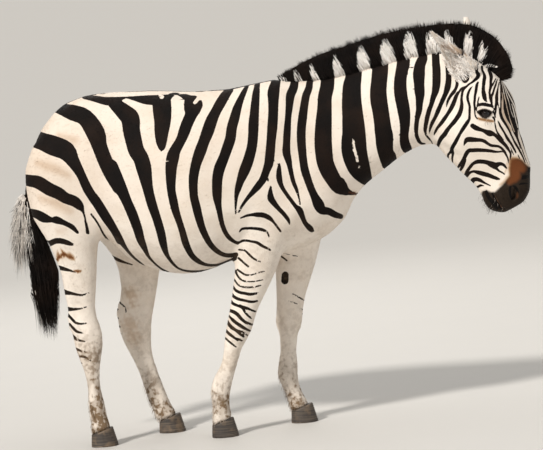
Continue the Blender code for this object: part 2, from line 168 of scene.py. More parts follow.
class Finish:
    def __init__(self, name, roughness=0.6, settings=None):
        self.material = bpy.data.materials.new(name)
        self.material.use_nodes = True
        self.tree = self.material.node_tree
        self.shader = self.tree.nodes["Principled BSDF"]
        self.shader.inputs["Roughness"].default_value = roughness
        for socket, value in (settings or {}).items():
            self.shader.inputs[socket].default_value = value

    def node(self, kind, settings, *inputs, out=0):
        made = self.tree.nodes.new(kind)
        for key, value in settings.items():
            setattr(made, key, value)
        sockets = [s for s in made.inputs if s.enabled]
        for place, value in enumerate(inputs):
            self.join(value, sockets[place])
        outs = [s for s in made.outputs if s.enabled]
        return Wire(self, outs[out])

    def join(self, value, socket):
        if isinstance(value, Wire):
            self.tree.links.new(value.socket, socket)
        elif value is not None:
            socket.default_value = value

    def attribute(self, name):
        made = self.tree.nodes.new("ShaderNodeAttribute")
        made.attribute_name = name
        return Wire(self, made.outputs["Fac"])

    def place(self, stretch=(1, 1, 1)):
        made = self.tree.nodes.new("ShaderNodeTexCoord")
        return self.node("ShaderNodeMapping", {}, Wire(self, made.outputs["Object"]), None, None, stretch)

    def noise(self, place, scale, detail=3.0):
        return self.node("ShaderNodeTexNoise", {}, place, scale, detail)

    def blend(self, share, first, second):
        made = self.tree.nodes.new("ShaderNodeMix")
        made.data_type = "RGBA"
        sockets = [s for s in made.inputs if s.enabled]
        for socket, value in zip(sockets, (share, first, second)):
            if isinstance(value, tuple):
                value = (*value, 1)
            self.join(value, socket)
        return Wire(self, [s for s in made.outputs if s.enabled][0])

    def step(self, value, low, high):
        made = self.tree.nodes.new("ShaderNodeMapRange")
        made.interpolation_type = "SMOOTHSTEP"
        for key, number in (("Value", value), ("From Min", low), ("From Max", high)):
            self.join(number, made.inputs[key])
        return Wire(self, made.outputs["Result"])

    def bump(self, height, strength, distance):
        made = self.tree.nodes.new("ShaderNodeBump")
        made.inputs["Strength"].default_value = strength
        made.inputs["Distance"].default_value = distance
        self.join(height, made.inputs["Height"])
        self.join(Wire(self, made.outputs["Normal"]), self.shader.inputs["Normal"])

    def finish(self, colour, roughness=None):
        self.join(colour if isinstance(colour, Wire) else (*colour, 1), self.shader.inputs["Base Color"])
        if roughness is not None:
            self.join(roughness, self.shader.inputs["Roughness"])
        return self.material


def floorFinish():
    plain = Finish("studio_floor", 0.85)
    grain = plain.noise(plain.place(), 3.0)
    return plain.finish(plain.blend(grain * 0.25, *studio["floorColours"]))


coatColours = {
    "cream": (0.83, 0.745, 0.655),
    "streak": (0.88, 0.82, 0.75),
    "bleached": (0.97, 0.945, 0.91),
    "warm": (0.68, 0.565, 0.45),
    "black": (0.0065, 0.0052, 0.0048),
    "rust": (0.026, 0.014, 0.009),
    "tan": (0.44, 0.27, 0.14),
    "brown": (0.130, 0.043, 0.015),
    "mud": (0.20, 0.135, 0.082),
    "bare": (0.024, 0.0165, 0.0115),
    "inside": (0.86, 0.825, 0.79),
}
coatShine = {"Sheen Weight": 0.012, "Sheen Roughness": 0.45, "Specular IOR Level": 0.06}
hornColours = ((0.035, 0.028, 0.024), (0.115, 0.088, 0.066))
eyeColours = {
    "iris": ((0.012, 0.006, 0.004), (0.004, 0.0025, 0.002)),
    "white": (0.020, 0.014, 0.013),
    "pupil": (0.003, 0.003, 0.004),
}


def coatFinish(name, hairy, bright=0.0):
    # mark, mud, brown, bare and inner are worked out for each point of the coat
    coat = Finish(name, 0.62, coatShine)
    lengthways = coat.noise(coat.place((18, 60, 60)), 9.0, 2.0)
    downwards = coat.noise(coat.place((60, 60, 14)), 9.0, 2.0)
    upright = coat.attribute("upright")
    grain = upright * downwards + (1.0 - upright) * lengthways
    broad = coat.noise(coat.place(), 9.0, 3.0)
    fine = coat.noise(coat.place(), 60.0, 2.0)
    edge = coat.attribute("mark") + (grain - 0.5) * (1.2 if hairy else 2.6)
    dark = coat.step(edge, -0.5, 0.9)
    pale = coat.blend(coat.step(broad, 0.40, 0.72) * 0.50, coatColours["cream"], coatColours["warm"])
    pale = coat.blend(coat.step(grain, 0.30, 0.62) * 0.30, pale, coatColours["streak"])
    pale = coat.blend(bright, pale, coatColours["bleached"])
    rusty = coat.step(broad + grain * 0.5, 0.55, 1.05) * 0.5
    deep = coat.blend(rusty, coatColours["black"], coatColours["rust"])
    colour = coat.blend(dark, pale, deep)
    brown = coat.attribute("brown")
    colour = coat.blend((brown * 2.0).clamp() * (1.0 - dark), colour, coatColours["tan"])
    speck = coat.step(fine + broad * 0.6, 0.72, 0.98)
    stain = coat.step(coat.noise(coat.place((1, 1, 0.6)), 22.0), 0.35, 0.65)
    dirt = coat.attribute("mud") * (0.12 + speck * 0.7 + stain * 0.45)
    colour = coat.blend(dirt.clamp(), colour, coatColours["mud"])
    colour = coat.blend(coat.attribute("inner") * 0.85, colour, coatColours["inside"])
    skinColour = coat.blend(dark, coatColours["bare"], coatColours["black"])
    colour = coat.blend(coat.attribute("bare"), colour, skinColour)
    colour = coat.blend(coat.step(brown, 0.18, 0.95), colour, coatColours["brown"])
    if not hairy:
        coat.bump(grain * 0.8 + fine * 0.35, 0.55, 0.0016)
    return coat.finish(colour, 0.56 + grain * 0.22 - coat.attribute("bare") * 0.16)


def hoofFinish():
    horn = Finish("hoof_horn", 0.5)
    rings = horn.noise(horn.place((1.5, 1.5, 38)), 6.0, 3.0)
    grain = horn.noise(horn.place((60, 60, 5)), 5.0, 2.0)
    colour = horn.blend(horn.step(rings, 0.35, 0.7), *hornColours)
    dust = horn.step(horn.noise(horn.place(), 30.0), 0.48, 0.72)
    colour = horn.blend(dust * 0.55, colour, coatColours["mud"])
    horn.bump(rings * 0.9 + grain * 0.4, 0.6, 0.0012)
    return horn.finish(colour, 0.45 + grain * 0.35)


def eyeFinish():
    eye = Finish("eye", 0.10, {"Coat Weight": 0.35, "Coat Roughness": 0.04, "Specular IOR Level": 0.25})
    streaks = eye.noise(eye.place((240, 60, 240)), 3.0, 2.0)
    brown = eye.blend(streaks, *eyeColours["iris"])
    colour = eye.blend(eye.step(eye.attribute("iris"), 0.9, 1.02), brown, eyeColours["white"])
    colour = eye.blend(eye.step(eye.attribute("pupil"), 1.05, 0.85), colour, eyeColours["pupil"])
    return eye.finish(colour)


# ---- markings ----
# Strokes of dark hair as (x, z, half width) in millimetres, drawn on an upright plane beside the body
# at the distance "plane" from its middle, and carried from there on to the coat. Where a group has
# "darkDrawn" or "lightDrawn", its half widths are changed by drawnStroke before they are used.
markings = {
    "flank": {
        "plane": 220,
        "dark": [
            [(-563, 1056, 29), (-534, 979, 24), (-515, 925, 19.5), (-497, 871, 19.5), (-483, 817, 18),
             (-475.5, 777, 15.7), (-463, 742, 10.7), (-452, 712, 6), (-431, 684, 4), (-407, 661, 4),
             (-382, 645.5, 4)],
            [(-632, 942, 18), (-599, 884, 15), (-577, 838, 14.5), (-555, 789, 13.5), (-533, 748, 7),
             (-512, 718, 5), (-488, 694, 4), (-466, 674, 3)],
            [(-523, 1285, 25), (-489.5, 1249.5, 32), (-473, 1228, 35), (-473, 1189, 32.5),
             (-468.6, 1150, 31.5), (-462, 1110, 30.5), (-447, 1078, 29.5), (-440, 1043, 29),
             (-436, 1004, 24.5), (-430.6, 957, 19.7), (-421.5, 903.5, 18.7), (-408.5, 850, 16.8),
             (-398, 797, 16.5), (-393, 757, 14.8), (-386, 722, 10), (-377, 700, 7), (-361, 675, 5.5),
             (-339, 655, 4), (-300, 643.6, 4.5), (-253, 642, 4), (-206, 648.5, 4), (-162, 664, 6),
             (-130, 677, 6)],
            [(-351, 1278.5, 35), (-352.5, 1245, 35), (-355, 1206, 31), (-362, 1167, 26.5),
             (-365.5, 1133.5, 20.5), (-366, 1115, 14.3), (-369, 1104, 7)],
            [(-236, 1259, 36), (-246, 1226, 23.5), (-265, 1191, 22), (-279, 1161, 21.5), (-293, 1133, 19),
             (-317, 1098, 21), (-328, 1073, 24), (-338, 1035, 22), (-343.6, 983, 18.4),
             (-345, 949.5, 16.3), (-341, 910, 16.5), (-335.4, 870, 15), (-327, 836, 13), (-318, 796, 13),
             (-311, 757, 13.7), (-303, 730, 12.5), (-291, 703, 11), (-273, 683, 10), (-251, 668, 7),
             (-225, 660.5, 5.5), (-194, 660.5, 5), (-161.5, 668.5, 6), (-130, 679, 6)],
            [(-95, 1303, 13), (-113.5, 1285, 17.5), (-134, 1258, 19.5), (-154, 1228, 19), (-173, 1196, 22),
             (-190, 1158, 23), (-208, 1121, 21), (-226, 1083, 22), (-243, 1045, 19.7), (-255, 1007, 18.5),
             (-261, 974, 17.5), (-263.5, 923, 16), (-258, 883, 16.5), (-252, 843, 15.5), (-244, 803, 13.7),
             (-232, 768, 12.5), (-219, 740, 11), (-199.6, 715, 10), (-175, 697, 8.5), (-149.5, 691, 8.5),
             (-126, 693, 8.5)],
            [(-27, 1317, 6), (-43, 1292, 10), (-59, 1264.5, 12.5), (-74.6, 1232, 16.5),
             (-87.6, 1197, 18.8), (-101, 1161, 19.5), (-109, 1125, 20), (-124, 1090, 20),
             (-140, 1055, 19.5), (-158, 1020, 21), (-169, 987, 20), (-174, 954.5, 19.3),
             (-177, 915.6, 17.5), (-176, 884, 13), (-173, 850, 10.5), (-168, 810, 9.5), (-158.5, 778, 9),
             (-144, 754.5, 8.5), (-127, 740, 6.5), (-116, 734, 6)],
            [(8, 1314, 10), (1, 1286, 13.5), (-6, 1247, 16), (-12.6, 1208.5, 17.5), (-19, 1170, 19.5),
             (-24, 1131, 19), (-31, 1092.5, 19), (-41.5, 1060, 19.7), (-55, 1027, 20.5), (-70, 997, 20),
             (-86.5, 963.5, 15), (-98, 935, 12.2), (-106, 910, 8), (-111, 879, 5), (-115, 842.5, 3)],
            [(3.6, 971, 11), (-18.4, 944, 13.5), (-42.7, 920, 10.5), (-65.5, 898, 7.2), (-87.6, 872, 5.5),
             (-102.6, 849, 3.5)],
            [(-637, 1322, 8), (-599, 1313, 12), (-560, 1301, 15.5), (-527, 1298, 16), (-505, 1303, 10),
             (-484, 1308, 4), (-443, 1300, 11), (-404, 1292, 18), (-358, 1289, 18), (-322, 1297, 12),
             (-298, 1307, 4), (-260, 1290, 12), (-236, 1270, 20)],
            [(-651, 886, 4), (-631, 853, 4), (-613.5, 812, 4), (-598, 784.5, 4)],
            [(-673, 854, 5), (-668, 817, 5)],
        ],
        "light": [
            [(-229, 1267, 6), (-206, 1290, 7), (-192, 1300, 5), (-176, 1304, 2.5)],
            [(-590, 1328, 2), (-520, 1316.6, 3), (-470, 1314, 3), (-402, 1313, 3.5), (-327, 1309, 3)],
            [(-351, 1299.5, 9), (-350, 1300, 9)],
            [(-285, 1305, 2), (-230, 1306, 2.5)],
            [(-555, 1331, 2.5), (-400, 1331, 2.5), (-230, 1330, 2.5)],
        ],
    },
    "shoulder": {
        "plane": 170,
        "dark": [
            [(80, 1340, 17), (72.6, 1313.6, 18), (61.5, 1279, 22.6), (58, 1244, 19.8), (53, 1197, 18.8),
             (46, 1150, 19.3), (37.5, 1103, 17.7), (29.5, 1056.5, 18), (21.4, 1018, 17.5), (9, 990, 15),
             (-4, 962, 14.5), (-24.5, 936.5, 12), (-48, 914, 9.5)],
            [(11, 962, 5), (13.7, 950, 3)],
            [(147, 1330, 14), (138, 1291, 16.5), (123, 1262, 17), (116, 1225, 14.2), (107.5, 1180, 12.3),
             (100, 1133, 13.9), (93.6, 1087, 14.1), (90, 1051, 15.5), (95, 1022.5, 12.8), (98, 999, 9.8),
             (102, 967, 8.8), (107, 938, 8.2), (115, 913, 7), (121, 885.5, 4), (124, 856, 3.5)],
            [(61, 1012, 4.5), (57, 991, 9), (55, 959, 11.5), (60, 932, 8.8), (73, 904, 7.5),
             (90, 876, 7.5), (107, 849, 8), (120, 834, 12.5), (129, 807, 10), (137, 784, 9),
             (153, 763.5, 11.5), (160.6, 754, 8)],
            [(21, 930, 4), (18, 913.5, 8), (17, 889, 13), (25.5, 871.5, 11.5), (41.6, 848, 9),
             (60, 825, 8.2), (74, 803, 7.2), (79, 784, 3)],
            [(-102, 822, 3), (-80, 829, 5), (-60, 831, 6), (-39, 830, 9), (-15, 826, 10), (6, 813.5, 9),
             (20, 797, 5), (32, 778.5, 5), (42.5, 760.6, 4.5)],
            [(-109, 772, 4), (-98, 782, 5), (-69.5, 781.6, 5.5), (-45.7, 778, 6), (-24, 772, 6.5),
             (-7, 762, 4), (-2.4, 745, 2.5)],
            [(-118, 730, 4.5), (-97, 738, 5), (-69, 732, 5), (-48, 725.6, 6), (-30, 712, 6), (-11, 701, 5),
             (-2, 694, 3)],
            [(-118, 705, 4), (-97, 701, 4), (-81, 683, 3.5), (-64, 665.5, 3), (-40, 653.5, 2)],
            [(-122, 673.5, 3.5), (-88.6, 639, 3)],
            [(203, 1335, 12), (195, 1287, 13.5), (181, 1257, 14.8), (171, 1220, 15.5), (161, 1176, 17),
             (152, 1129, 17), (148.6, 1082, 16.8), (149, 1035, 15.5), (150, 1007, 15.2), (153, 978, 15.7),
             (160.6, 945, 14.7), (169, 913, 14.3), (180, 881, 15.5), (193, 848, 21), (203, 827.5, 16.5),
             (227, 821, 14), (250, 806.5, 12.5), (271, 798, 10)],
            [(270, 1335, 25), (261, 1281, 26.2), (250, 1246, 26.2), (245, 1204, 27.2), (238, 1157, 30.3),
             (232, 1110, 32), (228.5, 1063, 33), (229, 1020.6, 32.2), (231.5, 998, 31.5), (240, 970.5, 31),
             (255, 938, 29), (273, 907, 25.5), (298, 888, 14)],
        ],
        "light": [],
        "darkDrawn": {"thin": 4, "more": 1.3, "below": 760},
    },
    "neck": {
        "plane": 100,
        "dark": [
            [(271, 912, 28), (290, 890, 17), (311, 877, 9), (336, 871.5, 4)],
            [(366, 1350, 30), (358, 1303, 31), (350, 1273, 34), (346, 1237, 35.7), (344, 1202, 37.8),
             (344, 1166, 39.5), (343.5, 1130, 42), (342.5, 1095, 44), (340, 1070, 46.5),
             (338.5, 1031.5, 47.7), (343.4, 997, 45.5), (351, 969, 41.5), (361, 945.5, 33.6),
             (371, 927, 25), (382, 911, 16)],
            [(466, 1375, 30), (458.6, 1318, 30.3), (453, 1285, 30), (446.6, 1248, 31), (445.5, 1210, 32),
             (449, 1169, 31), (451, 1133, 31), (452.5, 1097, 32.5), (454.5, 1078.6, 33.5),
             (453, 1044.5, 32), (455, 1015, 29.5), (462.5, 991.5, 31.5), (454, 971, 18)],
            [(553, 1385, 25), (547, 1339.5, 24.5), (540, 1316, 23.2), (533, 1288, 23.1), (529, 1258, 24.1),
             (529, 1222, 24.5), (533, 1186, 24.4), (535.5, 1150, 22.7), (534.5, 1114, 18.9),
             (529, 1078, 16.7), (528, 1049.6, 18.3), (534, 1026.4, 19), (545, 1014, 10)],
        ],
        "light": [
            [(336, 1080, 3), (337, 1078, 3)],
            [(339, 1068, 4), (337, 1050, 5.5), (340, 1031.5, 5.5), (345, 1013, 5), (347, 992, 4.5)],
            [(351.5, 974, 4.5), (351.5, 971, 4.5)],
            [(475, 965, 3), (489, 971, 3)],
        ],
    },
    "throat": {
        "plane": 90,
        "dark": [
            [(622, 1400, 14), (620, 1372, 17), (620, 1353, 18.7), (610, 1333, 20), (605, 1315, 21.3),
             (601.6, 1294, 22.7), (599.7, 1262, 20), (599, 1230.5, 19.4), (598.5, 1213, 16.5),
             (595.4, 1194, 14.3), (591.4, 1163.7, 12), (587.3, 1150.7, 11.4), (582.7, 1134.7, 9.5),
             (578.3, 1117.2, 8.8), (575.4, 1099.6, 8.8), (573.9, 1085, 7.7), (574.4, 1070, 7.5),
             (577.5, 1058, 7.5), (581.7, 1047.5, 7), (589.5, 1038.7, 5), (602.6, 1036.8, 3)],
            [(670, 1385, 14), (668, 1330, 15), (668, 1305, 15.7), (664, 1258.7, 15.6), (658.7, 1233, 13.9),
             (653.5, 1218.7, 12), (647, 1204.5, 10.6), (642, 1190, 9.5), (636.3, 1175.7, 8.6),
             (629.5, 1161.6, 9), (624, 1147.4, 9), (619.1, 1133, 9), (615, 1118, 8.4), (611, 1103.8, 8),
             (608, 1089.4, 7), (608, 1077.4, 5), (611, 1066.3, 4), (619, 1055.1, 4), (625.6, 1045.7, 3),
             (630.6, 1035, 2)],
            [(714, 1330, 12), (712, 1297.5, 11), (711, 1276, 11), (708, 1254.7, 11.7), (702, 1234, 11.7),
             (693, 1213.4, 9), (681.5, 1193, 8.7), (670.6, 1172.4, 8), (660, 1152, 8.6), (648, 1130, 7),
             (635.6, 1110.8, 7), (626.3, 1090.3, 4.8), (622, 1074, 2)],
            [(735, 1290, 4), (735, 1274, 3.5), (740, 1257, 5.5), (739.7, 1246, 6.5), (734, 1232, 6),
             (724.7, 1219.3, 7), (713, 1207, 6), (702, 1191, 5), (697, 1178.5, 3.7), (694, 1167, 1.5)],
            [(767.4, 1238.3, 1), (754, 1230, 4), (747.5, 1221.7, 4), (740, 1213.7, 6), (732, 1201.5, 7.5),
             (726.5, 1189, 8), (718, 1172.6, 8.5), (708, 1156, 8), (696, 1140, 7), (683, 1124, 7.5),
             (670, 1108.3, 7.5), (654.5, 1092.3, 5.7), (645, 1078, 5), (639, 1066, 2)],
            [(826, 1318, 1.5), (822, 1306, 3), (816, 1289, 6), (821, 1277.7, 8), (818, 1267, 7.5),
             (808.5, 1259, 6), (797, 1250.5, 4.5), (785.5, 1244.7, 4), (774.7, 1236.6, 4.5),
             (765, 1229, 4.5), (759, 1221, 5), (755, 1208, 5), (751.8, 1191.3, 5), (751.4, 1174.2, 6.5),
             (748.4, 1157.3, 8), (743.7, 1145, 8.5), (737.4, 1132.6, 9), (727.8, 1120.5, 8.5),
             (717.6, 1108.6, 8.5), (701.3, 1093, 7.5), (687, 1077, 8.5), (678, 1064.8, 9),
             (665.6, 1053, 8.5), (657.5, 1040.8, 7.5), (652, 1028.4, 6), (648, 1014, 3)],
            [(797, 1235.7, 1), (788, 1227, 4), (780.5, 1215, 5), (775.8, 1202.3, 5.3),
             (774.5, 1189.5, 5.5), (776.4, 1178.8, 5), (779.6, 1163.3, 5), (778.4, 1146, 5),
             (776.6, 1129.4, 5), (774.3, 1114.7, 5.5), (767.5, 1104.5, 7), (758, 1092.3, 7.5),
             (748.4, 1080.3, 7.5), (736.3, 1064, 6.2), (726, 1048, 7), (715.5, 1031.6, 7.5),
             (701.7, 1011.2, 7.5), (700.7, 1001, 7.5), (703, 993, 6), (702.4, 986.5, 5), (699.3, 972.5, 4),
             (700, 957, 2)],
            [(699, 1003, 6), (691, 994, 5), (685.5, 988, 4.5), (683.4, 973.7, 3), (683, 965, 1.5)],
            [(817.4, 1248, 4), (812.7, 1237.8, 5.7), (809.6, 1225.2, 6), (806.4, 1212.6, 5.5),
             (802.8, 1200, 5), (799.8, 1183, 5), (797.7, 1166, 4.5), (798, 1149, 4), (797, 1134, 3),
             (799, 1121, 3), (804.5, 1113, 2.6)],
        ],
        "light": [],
    },
    "face": {
        "plane": 70,
        "dark": [
            [(742.7, 1275.7, 2), (758.4, 1258.3, 4), (770.7, 1252.3, 5), (781, 1259.6, 4.5),
             (786, 1270, 3)],
            # over and round the eye
            [(817.5, 1192.8, 2.2), (814.5, 1184.6, 3), (811.8, 1176, 2.8), (812, 1167, 4),
             (823.2, 1163.2, 5.2), (832.7, 1162, 5.2), (842, 1158.6, 4.5), (851.3, 1155.2, 3.5),
             (858.6, 1152, 2.2), (866, 1147.7, 2.6), (868.4, 1141, 3.4), (864, 1134.6, 2)],
            [(812, 1166, 4), (806, 1155, 2.5), (804.5, 1146, 2.4), (807, 1136, 2)],
            [(863.1, 1112.7, 4), (867.3, 1105.6, 4), (867.8, 1098.8, 2.5), (868, 1089.2, 2.4),
             (869, 1078.8, 3), (870.5, 1068, 3), (874, 1056, 3.6), (880, 1045, 4), (886, 1036, 4),
             (892, 1026, 4)],
            # from below the eye to the nostril
            [(784.4, 1087.4, 9), (795.7, 1078.8, 10), (809.5, 1072, 8), (823.3, 1066.2, 7.2),
             (834.7, 1059.3, 9.5), (846.3, 1054, 12), (857.8, 1051, 8.2), (867, 1043.6, 6.4),
             (878, 1032, 8), (886.8, 1021, 8), (894.7, 1011.8, 7), (901, 1004, 6.6), (907.5, 993.5, 6),
             (913.7, 981.5, 4.5), (917.2, 971, 4), (915.5, 959.7, 3.5), (914, 950, 2)],
            [(746.3, 1016.4, 2), (752, 1027.8, 6), (760, 1037, 9.5), (773, 1037, 10.2), (792, 1034.1, 8.5),
             (811, 1031.3, 7), (824.7, 1025.4, 7), (835.9, 1016.1, 6), (847.3, 1008.5, 5.8),
             (861, 1005.6, 5.5), (875, 1002.5, 5), (885, 995, 5), (892, 986, 5), (897, 977, 5),
             (901, 966.7, 4), (904.6, 957.8, 3.5), (906, 949, 3), (907, 937, 2)],
            [(713.5, 931.1, 2), (722.1, 942, 5.5), (734, 955.2, 7), (744.9, 971, 7.5), (752.5, 984.9, 8),
             (763.7, 996, 8), (779, 996, 7.8), (798, 995.3, 7.8), (821.9, 992.1, 7), (845.4, 987.8, 6.2),
             (864.2, 983.1, 4.5), (883.4, 982.3, 3.2), (893, 980, 2)],
            [(720.7, 916.9, 1.5), (726.8, 927, 5), (735, 938.4, 6), (743.4, 953.3, 5), (747, 964, 5)],
            [(741, 897, 8), (748, 910, 8.6), (751.3, 920.2, 6.8), (758.6, 929.2, 6.5), (766.5, 938.1, 6.5),
             (776.3, 947, 6.4), (794.7, 952.5, 8.3), (818.3, 949, 8.5), (832.3, 944.1, 9.5),
             (846, 936.6, 12.2), (858, 933, 11), (872.7, 937.4, 7.5), (886.7, 933.3, 6), (893.9, 924, 4.5),
             (898.4, 918.3, 3)],
            [(850, 930, 9), (860, 921.2, 6), (869, 911.2, 4), (878.6, 905.3, 3.5), (888, 897.3, 3)],
            [(750, 903.6, 6), (760.3, 913.6, 5.5), (775, 917, 5.2), (791.3, 911.7, 8), (810, 905, 9),
             (828.5, 898.3, 8.5), (844.5, 890.3, 7.5), (858.3, 883.9, 6.5), (867.6, 880.7, 3.6)],
            [(764.3, 873, 7.5), (770, 885, 9), (782, 887.2, 8), (796, 881.9, 7), (807.3, 873.8, 5),
             (818.6, 866.9, 3.5), (832.3, 858.6, 2.5)],
            [(784.5, 858, 5), (796.8, 862.6, 5), (807.4, 860.5, 2)],
            # from the brow to the nose
            [(880, 1098, 2), (883, 1090, 3.2), (886, 1081, 4), (890, 1072.5, 4.4), (895, 1062.3, 4.2),
             (901, 1050.2, 4), (906, 1038.3, 5), (911.6, 1026.3, 5.8), (919, 1014.1, 4.6),
             (925.4, 1002.1, 4.5), (930.4, 990.2, 4.2), (935.6, 978.2, 3.5), (937, 971, 1.5)],
            [(917.9, 997, 1), (921.3, 986.6, 2), (924.9, 976.2, 2.5), (927.6, 965.9, 1.6)],
            [(942.9, 968.7, 1), (946.3, 958.6, 2.5), (949.1, 948.2, 2), (951.4, 933.7, 2),
             (955.6, 921.9, 2.5)],
        ],
        "light": [
            [(809.7, 1148.6, 3), (822.2, 1149.5, 6), (836.3, 1147.4, 5.5), (850.3, 1144.3, 4.6),
             (861.7, 1142.4, 5)],
        ],
    },
    "brow": {
        "plane": 40,
        "dark": [
            [(862, 1138, 3.5), (869, 1124, 4), (872, 1110, 2.5)],
            [(810, 1160, 5.5), (826, 1163, 6.5), (845, 1160, 5.5), (860, 1155.5, 4), (868, 1152, 2)],
            [(837, 1302.6, 5), (837.4, 1289.8, 4.5), (842, 1276.5, 5), (843.8, 1263.4, 7),
             (840, 1246.6, 7), (836.8, 1229.7, 6.3), (835, 1212.6, 7.5), (836, 1199.7, 8.7),
             (837.5, 1186.7, 8.5), (841, 1175.7, 5), (845.5, 1170, 1.5)],
            [(862, 1288, 6), (866.4, 1274.4, 7), (868.5, 1261.3, 7), (865, 1244, 5.5), (864, 1227, 6),
             (858.7, 1210.7, 4.7), (857.4, 1198, 4.5), (860, 1185, 7), (861, 1171.8, 5.7),
             (863.6, 1158.7, 3), (865.5, 1147, 2.5)],
            [(884.5, 1253, 2.5), (875.7, 1239, 3), (870, 1230, 4)],
            [(890.5, 1250, 2), (887, 1243, 2.8), (882.4, 1230.2, 4), (876.5, 1218, 4),
             (871.8, 1205.5, 4.4), (867, 1195, 5), (862, 1187, 5)],
            [(895.5, 1237.8, 2), (890.6, 1220.9, 2.7), (886.3, 1204, 4.7), (882.6, 1187, 6.5),
             (881.5, 1170.1, 6.5), (877, 1152, 5), (875, 1136, 4), (873.4, 1125.5, 3), (871.7, 1115, 1.5)],
            [(884, 1165, 3.5), (886.5, 1150, 2), (889, 1140, 2.5), (891, 1131, 5)],
            [(896.5, 1240, 1.5), (898.5, 1225, 2.2), (899, 1211.3, 2.5), (899.6, 1194.3, 3.5),
             (897.8, 1177.3, 3.5), (896.4, 1160, 3.1), (894.5, 1143.3, 3.5), (891.5, 1131, 5.5),
             (893, 1118, 6), (896, 1105, 6), (901.5, 1093, 5.5), (907, 1082.6, 5), (912, 1072.5, 4.5),
             (918, 1060.2, 4.5), (922.1, 1048.4, 3.8), (926.1, 1036.5, 3.6), (931, 1024.6, 3.8),
             (935, 1012.8, 3.6), (940.8, 1000.8, 4.5), (946.3, 988.8, 3.6), (951.7, 976.9, 3.6),
             (957, 964.9, 3.6), (961.7, 953, 3), (965.4, 941.2, 2.7), (969.1, 929.4, 2)],
            # the dark forehead
            [(904, 1246, 7), (913, 1225, 14), (925, 1195, 25), (932, 1165, 30), (936, 1130, 31),
             (939, 1110, 28), (942, 1092, 23), (944, 1078, 18), (941, 1062, 12), (943, 1045, 8),
             (946, 1030, 5), (949, 1012, 2.5), (956, 985, 1.6)],
            [(950, 1085, 3), (957, 1050, 2.4), (964, 1015, 2.2), (973, 980, 2), (982, 945, 1.6),
             (987, 920, 1)],
            [(941, 1062, 2), (948, 1030, 2), (956, 1000, 2.2), (964, 970, 2), (973, 940, 1.6),
             (980, 920, 1)],
            [(956, 1090, 2.4), (963, 1055, 2.2), (971, 1018, 2), (980, 980, 1.8), (988, 945, 1.4)],
            [(928, 1032, 1), (940, 1008, 2.2), (951, 985, 2.2), (960, 962, 2), (968, 940, 1.2)],
        ],
        "light": [
            [(903.7, 1199.8, 0.9), (905, 1182.5, 1.2), (904.3, 1165.4, 1.6), (902.9, 1148.3, 1.7),
             (900.6, 1131.3, 1.9), (903.5, 1113.8, 2.3), (909, 1097.9, 2.5), (915.4, 1081.9, 2.5),
             (921.8, 1065.9, 2.8), (927, 1053, 2.5)],
            [(905, 1244, 0.8), (909, 1215, 1.1), (911.6, 1187.2, 1.5), (914.5, 1169.7, 1.7),
             (916.5, 1152.4, 1.4), (918.9, 1135, 1.2), (921.8, 1117.6, 1.1), (925, 1100, 1.2),
             (929.2, 1082.5, 1.6), (933.7, 1064.9, 1.9), (938, 1050, 1.6)],
            [(907, 1245, 0.8), (915, 1215, 1.1), (922.1, 1181.2, 1.6), (925.4, 1168.8, 1.2),
             (928, 1156.6, 1.1), (930.4, 1134, 0.6), (934.7, 1118.2, 1.2), (938.6, 1104.1, 1.1)],
            [(909, 1245, 0.8), (918, 1218, 1.3), (927, 1192.6, 1.9), (933.9, 1176, 2.4),
             (940.4, 1160, 2.7), (946, 1145, 2.7), (950, 1125, 2.7), (953, 1105, 2.4), (957, 1080, 2.1)],
            [(911, 1244, 1.1), (921, 1224, 1.6), (929.6, 1207, 2.1), (938.4, 1189, 2.7), (946, 1170, 2.7),
             (952, 1148, 2.4), (957, 1125, 2.1), (961, 1100, 1.9)],
            [(936, 1155, 1.1), (940.3, 1135, 2.1), (943.1, 1118, 2.3), (945.4, 1103, 2.1),
             (947.6, 1088, 1.9), (952, 1065, 1.6)],
            [(898, 1235, 0.7), (897, 1215, 0.8), (894, 1185, 0.7), (890.6, 1140.7, 0.9)],
        ],
        "lightDrawn": {"growth": 0.75, "least": 0.5},
    },
    "rump": {
        "plane": 100,
        "dark": [
            [(-765, 1288, 18), (-702, 1263, 30), (-655, 1240, 32), (-622, 1181, 36), (-611, 1128, 29),
             (-592, 1062, 28), (-574, 1012, 26), (-555, 965, 22)],
            [(-890, 1194, 33), (-875, 1188, 33), (-826, 1165, 33.5), (-786, 1146, 38), (-740, 1122.5, 36),
             (-718, 1085, 26), (-691.5, 1030, 18), (-670, 970, 18.5), (-640.5, 916, 18.5), (-611, 860, 19),
             (-586, 812, 15.5), (-569, 768, 13)],
            [(-925, 1031, 20), (-880, 1020, 23), (-852, 1011, 25), (-816, 984, 25), (-783, 966, 24),
             (-757, 945, 21.5), (-728, 932, 21), (-709, 914, 17.5), (-695, 887, 5), (-690, 850, 4.5),
             (-690, 806, 3)],
            [(-905, 906, 14), (-870, 893, 17), (-845, 877, 18), (-812, 866, 9), (-800, 866, 15),
             (-770, 852, 10), (-742, 834, 10), (-724, 812, 6)],
            [(-870, 790, 17), (-856, 784, 17), (-838, 778, 12), (-810, 787, 11), (-787, 785, 11),
             (-760, 774, 9), (-737, 764, 3)],
            [(-840, 694, 8), (-812, 687, 9), (-790, 680, 8), (-765, 671, 5), (-738, 662, 3)],
        ],
        "light": [],
    },
}
